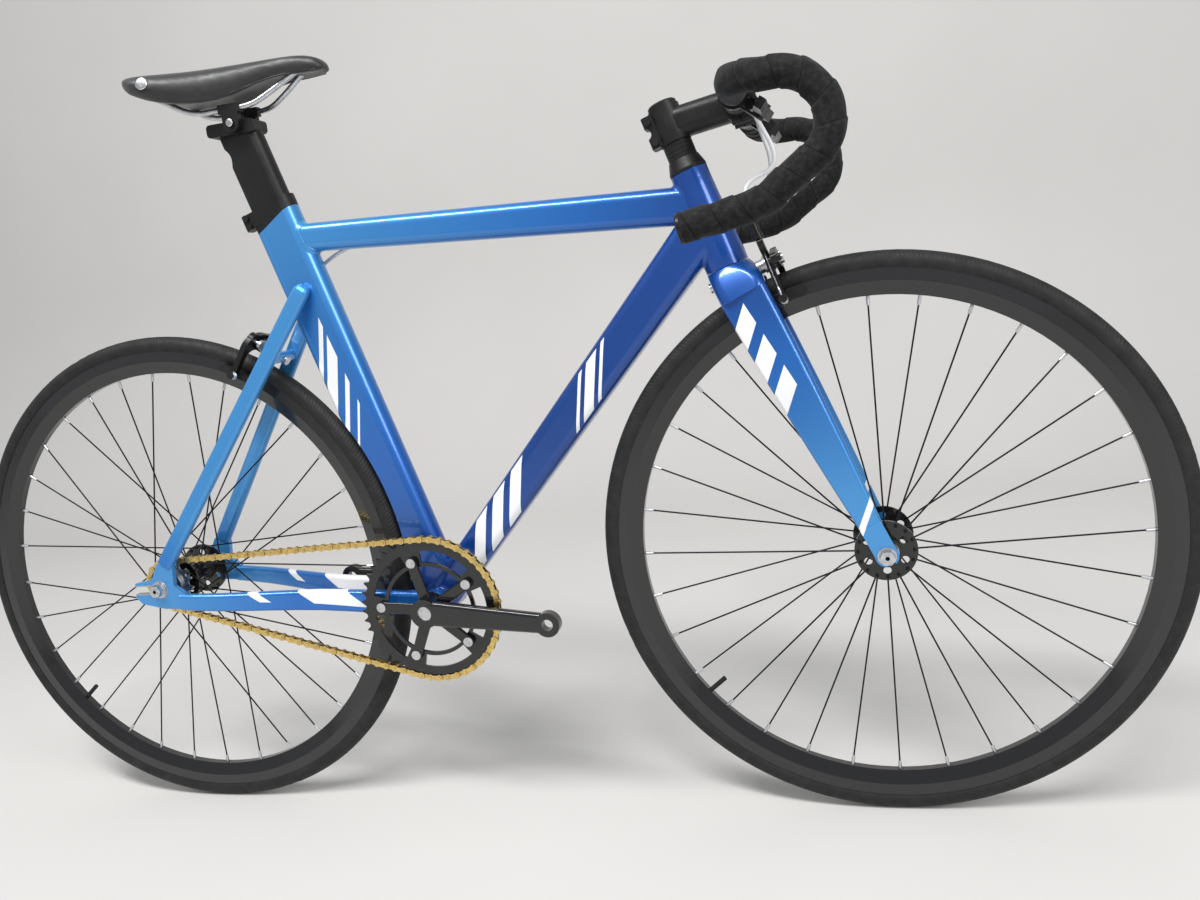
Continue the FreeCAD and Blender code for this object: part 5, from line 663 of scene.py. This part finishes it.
def bar_line(side, step):
    """Middle line of one half of the bar from its tape's start to its end; side is -1 on the right."""
    points = [BAR + Vector((ahead * BAR_REACH, side * BAR_HALF, up * BAR_DROP)) for ahead, up in BAR_SHARES]
    inner = BAR + Vector((0, side * TAPER_END, 0))
    start = inner.lerp(points[0], (TAPE_START - TAPER_END) / (BAR_HALF - TAPER_END))
    return rounded_line([start] + points, [bend * BAR_DROP for bend in BAR_BEND_SHARES], step)


def cork_tape():
    """Soft black tape: painted shade as a dark line at the edge of each turn, where it steps over the last,
    over mottled felt.
    """
    graph = Graph("cork_tape", Specular_IOR_Level=0.2, Sheen_Weight=0.08)
    turns = graph.add("ShaderNodeUVMap", uv_map=TAPE_TURNS).outputs[0]
    phase = graph.math("FRACT", graph.add("ShaderNodeSeparateXYZ", {0: turns}).outputs[0])
    edge = graph.math("MINIMUM", graph.between(phase, 0.0, 0.07), graph.between(phase, 1.0, 0.97))
    felt = graph.ramp(graph.noise(0.005, 6.0), [(0.35, grey(0.005)), (0.5, grey(0.009)), (0.72, grey(0.020))])
    # Painted shade: the near-black line on each lap edge stands for the shade in the step between turns; the
    # same edge mask also drives the bump.
    graph.feed("Base Color", graph.mix(edge, colour(*grey(0.0008)), felt))
    graph.feed("Roughness", graph.between(graph.noise(0.004), 0.3, 0.7, 0.74, 0.92))
    graph.bump(graph.math("MULTIPLY_ADD", edge, 2.0, graph.noise(0.0008)), 0.5, 0.0005)
    return graph


class BIKE_OT_tape(Operator):
    """Wind tape round both halves of the drop bar"""
    bl_idname = "bike.tape"
    bl_label = "Wind the bar tape"

    def execute(self, context):
        sizes = looks().tape
        graph = cork_tape()
        band = rubber("closing_band", 0.006, 0.004, 0.38)
        for side, label in SIDES:
            verts, faces = self.wind(bar_line(side, sizes.step), side, sizes)
            piece = new_piece("bar_tape_" + label, verts, faces, "fork", graph)
            piece.data.materials.append(band.material)
            self.unwind(piece.data, side, sizes)
            closing = round(sizes.finish / sizes.step) * sizes.sides
            for polygon in piece.data.polygons:
                polygon.material_index = 1 if max(polygon.vertices) < closing else 0
            if side < 0:
                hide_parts("bar_tape")
        return {"FINISHED"}

    @staticmethod
    def unwind(mesh, side, sizes):
        """Turns of the tape at each corner, kept as a map for the material."""
        turns = mesh.uv_layers.new(name=TAPE_TURNS)
        for polygon in mesh.polygons:
            places = [vertex % sizes.sides for vertex in polygon.vertices]
            wraps = max(places) == sizes.sides - 1 and min(places) == 0
            for loop, vertex, place in zip(polygon.loop_indices, polygon.vertices, places):
                round_bar = (sizes.sides if wraps and place == 0 else place) / sizes.sides
                run = vertex // sizes.sides * sizes.step
                turns.data[loop].uv = (run / sizes.pitch + side * round_bar, round_bar)

    @staticmethod
    def wind(line, side, sizes):
        """Rings of points whose radius steps up at each turn of the tape."""
        verts, high = [], Vector((0, 0, 1))
        for n, spot in enumerate(line):
            ahead = (line[min(n + 1, len(line) - 1)] - line[max(n - 1, 0)]).normalized()
            out = (high - ahead * high.dot(ahead)).normalized()
            wide = ahead.cross(out)
            high = out
            run = n * sizes.step
            for k in range(sizes.sides):
                angle = 2 * math.pi * k / sizes.sides
                phase = (run / sizes.pitch + side * k / sizes.sides) % 1.0
                edge = min(phase / LAP_RISE_SHARE, 1.0)
                lift = sizes.lap * (edge * (1 - LAP_FALL_SHARE * phase) - 0.5)
                lift += SAG * math.sin(SAG_LOBES * angle + run * SAG_RATE)
                if run < sizes.finish:
                    lift = -0.5 * sizes.lap + RIPPLE * math.sin(run * RIPPLE_RATE)
                radius = sizes.radius + lift - 0.5 * sizes.lap
                verts.append(spot + out * (radius * math.cos(angle)) + wide * (radius * math.sin(angle)))
        return verts, ring_faces(len(line), sizes.sides)


# Saddle: padded cover over the same stations as its solid
SADDLE_SHARES = ((0.004, 0.11, -0.30, -0.50), (0.036, 0.24, -0.10, -0.58), (0.126, 0.30, 0.0, -0.56),
                 (0.220, 0.32, 0.01, -0.52), (0.300, 0.34, 0.01, -0.58), (0.410, 0.42, 0.0, -0.76),
                 (0.510, 0.52, 0.0, -0.90), (0.615, 0.66, 0.0, -0.94), (0.746, 0.92, 0.02, -0.86),
                 (0.860, 0.95, 0.06, -0.62), (0.925, 0.80, 0.08, -0.40), (0.950, 0.62, 0.04, -0.22))
SADDLE_DEPTH, SADDLE_CREST_SHARE, SADDLE_NOSE_SHARE = 0.050, 0.2, 0.004
SWELL_FRAMES, CLOTH_TENSION, CLOTH_BENDING = 12, 30.0, 10.0
RIVET_SINK, RIVET_RISE = 0.002, 0.0016
RIVET_PLACE_SHARE = 0.4
RIVET_SHARES = ((0.0, 0.9), (0.55, 1.0), (0.75, 0.97), (0.9, 0.75), (1.0, 0.3))
SECTION_SHARES = ((-0.90, 0.0), (-1.0, 0.3), (-1.0, 0.6), (-0.90, 0.84), (-0.62, 0.97), (-0.3, 0.995),
                  (0.0, 0.985), (0.3, 0.995), (0.62, 0.97), (0.90, 0.84), (1.0, 0.6), (1.0, 0.3), (0.90, 0.0),
                  (0.6, 0.10), (0.2, 0.16), (-0.2, 0.16), (-0.6, 0.10))


def saddle_leather():
    graph = Graph("saddle_leather", Coat_Weight=0.15, Coat_Roughness=0.3, Sheen_Weight=0.15)
    graph.feed("Base Color", graph.ramp(graph.noise(0.03), [(0.3, grey(0.006)), (0.75, grey(0.012))]))
    graph.feed("Roughness", graph.between(graph.noise(0.01), 0.3, 0.7, 0.38, 0.52))
    grain = graph.cells(0.0011, "Distance", feature="DISTANCE_TO_EDGE")
    graph.bump(graph.math("MINIMUM", grain, 0.25), 0.35, 0.0004)
    return graph


class BIKE_OT_saddle(Operator):
    """Model the padded saddle cover, its edge seam and its rivets"""
    bl_idname = "bike.saddle"
    bl_label = "Pad the saddle"

    def execute(self, context):
        sizes = looks().saddle
        leather = saddle_leather()
        verts = []
        for station in SADDLE_SHARES:
            verts += self.section(station, sizes.inset)
        faces = ring_faces(len(SADDLE_SHARES), len(SECTION_SHARES))
        piece = new_piece("saddle_pad", verts, faces, "saddle", leather, ("saddle_cover",))
        swell(piece, sizes)
        self.seam(piece, sizes, leather)
        self.rivets(piece, sizes)
        return {"FINISHED"}

    @staticmethod
    def section(station, inset):
        along, half, top, bottom = station
        low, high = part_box("saddle_cover")
        width = (high.y - low.y) / 2 - inset
        crest = high.z - SADDLE_CREST_SHARE * SADDLE_DEPTH
        spot = high.x + SADDLE_NOSE_SHARE * (high.x - low.x) - along * (high.x - low.x)
        floor = crest + bottom * SADDLE_DEPTH + inset
        rise = (top - bottom) * SADDLE_DEPTH - 2 * inset
        return [Vector((spot, left * half * width, floor + up * rise)) for left, up in SECTION_SHARES]

    def seam(self, pad, sizes, graph):
        """Thin welt on the cover's lower edge."""
        for side, label in ((0, "right"), (12, "left")):
            edge = [self.section(station, 0.0)[side] for station in SADDLE_SHARES[1:]]
            line = [pad.closest_point_on_mesh(spot)[1] for spot in edge]
            piece = spline_object("saddle_welt_" + label, line, sizes.piping)
            piece.data.materials.append(graph.material)
            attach(piece, "saddle")

    def rivets(self, pad, sizes):
        """Bright domed rivets at the corners of the tail."""
        silver = bare_metal("rivet_silver", (0.78, 0.78, 0.78), 0.2)
        for side, label in ((2, "right"), (10, "left")):
            ahead, behind = (self.section(station, 0.0)[side] for station in SADDLE_SHARES[-4:-2])
            _, spot, out, _ = pad.closest_point_on_mesh(ahead.lerp(behind, RIVET_PLACE_SHARE))
            profile = [(share, sizes.rivet * wide) for share, wide in RIVET_SHARES]
            turned("saddle_rivet_" + label, spot - out * RIVET_SINK, spot + out * RIVET_RISE, profile,
                   "saddle", silver)


def swell(piece, sizes):
    """Round a closed form with a short pressure simulation, capped, then smooth it."""
    bpy.context.view_layer.objects.active = piece
    smooth = piece.modifiers.new("Smooth", "SUBSURF")
    smooth.levels = 2
    bpy.ops.object.modifier_apply(modifier=smooth.name)
    remesh = piece.modifiers.new("Remesh", "REMESH")
    remesh.mode = "VOXEL"
    remesh.voxel_size = sizes.voxel
    bpy.ops.object.modifier_apply(modifier=remesh.name)
    start = [vert.co.copy() for vert in piece.data.vertices]
    cloth = piece.modifiers.new("Cloth", "CLOTH")
    cloth.settings.use_pressure = True
    cloth.settings.uniform_pressure_force = sizes.pressure
    cloth.settings.effector_weights.gravity = 0.0
    cloth.settings.tension_stiffness = CLOTH_TENSION
    cloth.settings.bending_stiffness = CLOTH_BENDING
    for step in range(1, SWELL_FRAMES + 1):
        bpy.context.scene.frame_set(step)
    bpy.ops.object.modifier_apply(modifier=cloth.name)
    bpy.context.scene.frame_set(1)
    for vert, spot in zip(piece.data.vertices, start):
        move = vert.co - spot
        vert.co = spot + move * min(1.0, sizes.swell / max(move.length, 1e-9))
    finish = piece.modifiers.new("Finish", "SUBSURF")
    finish.levels = finish.render_levels = 1
    shade_smooth(piece.data)


# Brake cables: the routes' control points, the bare wire below each, and turned ends
ROUTES = {
    "front": ((0.3658, -0.0555, 0.8373), (0.3639, -0.0216, 0.8391), (0.3940, -0.0140, 0.7750),
              (0.3426, -0.0370, 0.7599), (0.3525, -0.0370, 0.7274)),
    "rear": ((0.3658, 0.0555, 0.8373), (0.3639, 0.0216, 0.8391), (0.3850, 0.0260, 0.7700),
             (0.3350, 0.0400, 0.7380), (0.2850, 0.0340, 0.7410), (0.2350, 0.0140, 0.7470),
             (0.1900, 0.0040, 0.7510), (-0.1100, 0.0020, 0.7640), (-0.1660, 0.0060, 0.7510),
             (-0.2020, 0.0240, 0.7390), (-0.2425, 0.0370, 0.7184), (-0.2624, 0.0370, 0.6909)),
}
WIRES = {
    "front": ((0.3525, -0.0370, 0.7274), (0.3778, -0.0370, 0.6447), (0.3807, -0.0370, 0.6352)),
    "rear": ((-0.2624, 0.0370, 0.6909), (-0.3131, 0.0370, 0.6208), (-0.3189, 0.0370, 0.6127)),
}
FERRULE_SHARES = ((0.0, 1.18), (0.06, 1.3), (0.55, 1.3), (0.62, 1.16), (0.95, 1.16), (1.0, 1.05))


def spline_object(name, points, radius):
    """Smooth curve whose control points are the given ones."""
    curve = bpy.data.curves.new(name, "CURVE")
    curve.dimensions = "3D"
    curve.resolution_u = 16
    curve.bevel_depth = radius
    curve.bevel_resolution = 4
    curve.use_fill_caps = True
    spline = curve.splines.new("NURBS")
    spline.points.add(len(points) - 1)
    for point, spot in zip(spline.points, points):
        point.co = (*spot, 1.0)
    spline.order_u = 3
    spline.use_endpoint_u = True
    return linked(name, curve)


def as_mesh(curve_object):
    """Mesh of a curve as it stands."""
    bpy.context.view_layer.update()
    graph = bpy.context.evaluated_depsgraph_get()
    return bpy.data.meshes.new_from_object(curve_object.evaluated_get(graph), depsgraph=graph)


def turned(name, start, end, profile, body, graph, sides=24):
    """Turned piece between two points; profile gives shares of the length and radii."""
    axis = Vector(end) - Vector(start)
    out = axis.orthogonal().normalized()
    wide = axis.normalized().cross(out)
    verts = []
    for share, radius in profile:
        for k in range(sides):
            angle = 2 * math.pi * k / sides
            way = out * math.cos(angle) + wide * math.sin(angle)
            verts.append(Vector(start) + axis * share + way * radius)
    return new_piece(name, verts, ring_faces(len(profile), sides), body, graph)


# Bolts: profiles of their heads as shares of height and radius, and where the clamp's ears are felt for
EAR_SHARE = 1.2
CAP_SHARES = ((0.0, 1.0), (0.85, 1.0), (1.0, 0.82))
SOCKET_SHARES = ((0.0, 1.3), (0.35, 1.3), (0.42, 1.0), (0.9, 0.98), (1.0, 0.85), (0.98, 0.52), (0.6, 0.5))
TILT = Vector(next(joint["pos_m"] for joint in frame["joints"] if joint["name"] == "saddle_tilt"))


class BIKE_OT_bolts(Operator):
    """Set bright socket bolts on the brake arms and the saddle clamp"""
    bl_idname = "bike.bolts"
    bl_label = "Set the bright bolts"

    def execute(self, context):
        sizes = looks().bolts
        silver = bare_metal("bolt_silver", (0.74, 0.74, 0.75), 0.22)
        for side, label in SIDES:
            for end in WHEELS:
                shoe = middle_of("%s_brake_shoe_%s" % (end, label))
                arm = skin("%s_brake_arm_%s" % (end, label))
                face = arm.find_nearest(shoe + Vector((0, side * sizes.outside, 0)))[0]
                self.bolt("%s_shoe_bolt_%s" % (end, label), face, side, sizes.shoe, SOCKET_SHARES,
                          "%s_arm_%s" % (end, label), silver)
            beside = TILT + Vector((sizes.clamp * EAR_SHARE, side, 0))
            ear = skin("saddle_clamp").ray_cast(beside, Vector((0, -side, 0)))[0]
            face = Vector((TILT.x, ear.y, TILT.z))
            self.bolt("clamp_bolt_" + label, face, side, sizes.clamp, CAP_SHARES, "saddle", silver)
        return {"FINISHED"}

    @staticmethod
    def bolt(name, face, side, radius, shares, body, graph):
        """Bolt's head standing out sideways from a spot on a face."""
        sizes = looks().bolts
        out = Vector((0, side, 0))
        profile = [(share, radius * wide) for share, wide in shares]
        turned(name, face - out * sizes.sink, face + out * sizes.height, profile, body, graph)


class BIKE_OT_cables(Operator):
    """Lay the brake housings on smooth curves with turned ends and bare wires"""
    bl_idname = "bike.cables"
    bl_label = "Lay the brake cables"

    def execute(self, context):
        sizes = looks().cables
        white = Graph("pale_housing", Coat_Weight=0.4, Coat_Roughness=0.1)
        tints = [(0.3, (0.60, 0.61, 0.62)), (0.7, (0.72, 0.73, 0.74))]
        white.feed("Base Color", white.ramp(white.noise(0.02), tints))
        white.feed("Roughness", white.between(white.noise(0.01), 0.3, 0.7, 0.28, 0.4))
        white.bump(white.noise(0.002), 0.1, 0.0001)
        steel = bare_metal("wire_steel", (0.62, 0.63, 0.65), 0.3)
        ferrule = black_metal("ferrule_black", 0.35, 0.002, 0.0001)
        for name, body in (("front", "fork"), ("rear", "frame")):
            self.cable(name, body, sizes, white, steel, ferrule)
        dress(rubber("plug_plastic", 0.008, 0.004, 0.3), "bar_end_plugs")
        return {"FINISHED"}

    @staticmethod
    def cable(name, body, sizes, white, steel, ferrule):
        route = [Vector(point) for point in ROUTES[name]]
        line = spline_object(name + "_line", route, 0.0)
        path = [vert.co.copy() for vert in as_mesh(line).vertices]
        line.data.bevel_depth = sizes.housing
        mesh = as_mesh(line)
        bpy.data.objects.remove(line)
        shade_smooth(mesh)
        housing = linked(name + "_brake_housing", mesh)
        mesh.materials.clear()
        mesh.materials.append(white.material)
        if name == "rear":
            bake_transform(housing)
        else:
            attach(housing, body)
        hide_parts(name + "_brake_cable")
        profile = [(share, sizes.housing * wide) for share, wide in FERRULE_SHARES]
        tips = (("lever", route[0], route[1], "fork"), ("caliper", route[-1], route[-2], body))
        for label, tip, inner, rides in tips:
            back = tip + (inner - tip).normalized() * sizes.ferrule
            turned("%s_%s_ferrule" % (name, label), tip, back, profile, rides,
                               ferrule)
        top, foot, tip = (Vector(point) for point in WIRES[name])
        run = (tip - top).length
        strand = (foot - top).length / run
        profile = [(0.0, sizes.wire), (strand, sizes.wire), (strand, sizes.tail), (0.98, sizes.tail),
                   (1.0, sizes.wire)]
        turned(name + "_brake_wire", top, tip, profile, body, steel, 12)


# Studio: each lamp's place and size, where both aim, the backdrop's front and half width, the camera's sensor
KEY_PLACE, KEY_SIZE = (-0.7, -1.9, 3.8), (3.4, 0.6)
FILL_PLACE, FILL_SIZE = (3.0, -2.2, 2.4), (1.2, 2.0)
LAMP_AIM = Vector((0, 0, 0.5))
SKY_TINT = (0.93, 0.95, 1.0)
BACKDROP_FRONT, BACKDROP_HALF, BEND_STEPS = -8.0, 10.0, 12
SENSOR, NEAREST = 36.0, 0.05


class BIKE_OT_studio(Operator):
    """Set the camera, a pale floor that curves up behind the bike, and soft lamps"""
    bl_idname = "bike.studio"
    bl_label = "Build the studio"

    def execute(self, context):
        self.camera()
        self.backdrop()
        sizes = looks().studio
        self.lamp("key", KEY_PLACE, sizes.key, *KEY_SIZE)
        self.lamp("fill", FILL_PLACE, sizes.fill, *FILL_SIZE)
        world = bpy.data.worlds.new("Studio")
        context.scene.world = world
        world.use_nodes = True
        background = world.node_tree.nodes["Background"]
        background.inputs["Color"].default_value = colour(*SKY_TINT)
        background.inputs["Strength"].default_value = sizes.sky
        context.scene.view_settings.view_transform = "Standard"
        return {"FINISHED"}

    @staticmethod
    def camera():
        sizes = looks().camera
        forward = Vector((math.sin(sizes.yaw), math.cos(sizes.yaw), 0))
        right = Vector((math.cos(sizes.yaw), -math.sin(sizes.yaw), 0))
        up = Vector((0, 0, 1))
        ahead = forward * math.cos(sizes.pitch) - up * math.sin(sizes.pitch)
        high = up * math.cos(sizes.pitch) + forward * math.sin(sizes.pitch)
        wide = right * math.cos(sizes.roll) + high * math.sin(sizes.roll)
        high = high * math.cos(sizes.roll) - right * math.sin(sizes.roll)
        data = bpy.data.cameras.new("Camera")
        data.lens = sizes.lens
        data.sensor_width = SENSOR
        data.clip_start = NEAREST
        camera = linked("Camera", data)
        turn = Matrix((wide, high, -ahead)).transposed().to_4x4()
        camera.matrix_world = Matrix.Translation(sizes.place) @ turn
        bpy.context.scene.camera = camera

    @staticmethod
    def backdrop():
        sizes = looks().studio
        profile = [(BACKDROP_FRONT, 0.0), (sizes.reach, 0.0)]
        for k in range(1, BEND_STEPS + 1):
            angle = math.pi / 2 * k / BEND_STEPS
            profile.append((sizes.reach + sizes.bend * math.sin(angle), sizes.bend * (1 - math.cos(angle))))
        profile.append((sizes.reach + sizes.bend, sizes.height))
        verts = [(x, y, z) for y, z in profile for x in (-BACKDROP_HALF, BACKDROP_HALF)]
        faces = [(2 * n, 2 * n + 1, 2 * n + 3, 2 * n + 2) for n in range(len(profile) - 1)]
        mesh = bpy.data.meshes.new("backdrop")
        mesh.from_pydata(verts, [], faces)
        shade_smooth(mesh)
        piece = linked("backdrop", mesh)
        graph = Graph("backdrop", Roughness=0.85)
        tone = tuple(sizes.floor)
        shade = tuple(0.96 * channel for channel in tone)
        graph.feed("Base Color", graph.ramp(graph.noise(0.6), [(0.3, shade), (0.7, tone)]))
        mesh.materials.append(graph.material)

    @staticmethod
    def lamp(name, place, power, width, depth):
        data = bpy.data.lights.new(name, "AREA")
        data.energy = power
        data.shape = "RECTANGLE"
        data.size = width
        data.size_y = depth
        lamp = linked(name, data)
        lamp.location = place
        lamp.rotation_euler = (LAMP_AIM - Vector(place)).to_track_quat("-Z", "Y").to_euler()


class BIKE_PT_looks(Panel):
    """Sidebar panel with the steps in order"""
    bl_idname = "BIKE_PT_looks"
    bl_label = "Fixed Gear Bike"
    bl_space_type = "VIEW_3D"
    bl_region_type = "UI"
    bl_category = "Bike"

    def draw(self, context):
        for step in STEPS:
            self.layout.operator(step.bl_idname)


STEPS = (BIKE_OT_studio, BIKE_OT_paint, BIKE_OT_metals, BIKE_OT_wheels, BIKE_OT_welds, BIKE_OT_bolts,
         BIKE_OT_cables, BIKE_OT_tape, BIKE_OT_saddle)
CLASSES = (BikeCamera, BikePaint, BikeWelds, BikeTape, BikeCables, BikeSaddle, BikeBolts, BikeStudio,
           BikeLooks, *STEPS, BIKE_PT_looks)


def register():
    for cls in CLASSES:
        bpy.utils.register_class(cls)
    bpy.types.Scene.bike_looks = PointerProperty(type=BikeLooks)


def unregister():
    del bpy.types.Scene.bike_looks
    for cls in reversed(CLASSES):
        bpy.utils.unregister_class(cls)


def main():
    register()
    bpy.ops.bike.studio()
    bpy.ops.bike.paint()
    bpy.ops.bike.metals()
    bpy.ops.bike.wheels()
    bpy.ops.bike.welds()
    bpy.ops.bike.bolts()
    bpy.ops.bike.cables()
    bpy.ops.bike.tape()
    bpy.ops.bike.saddle()


if __name__ == "__main__":
    main()
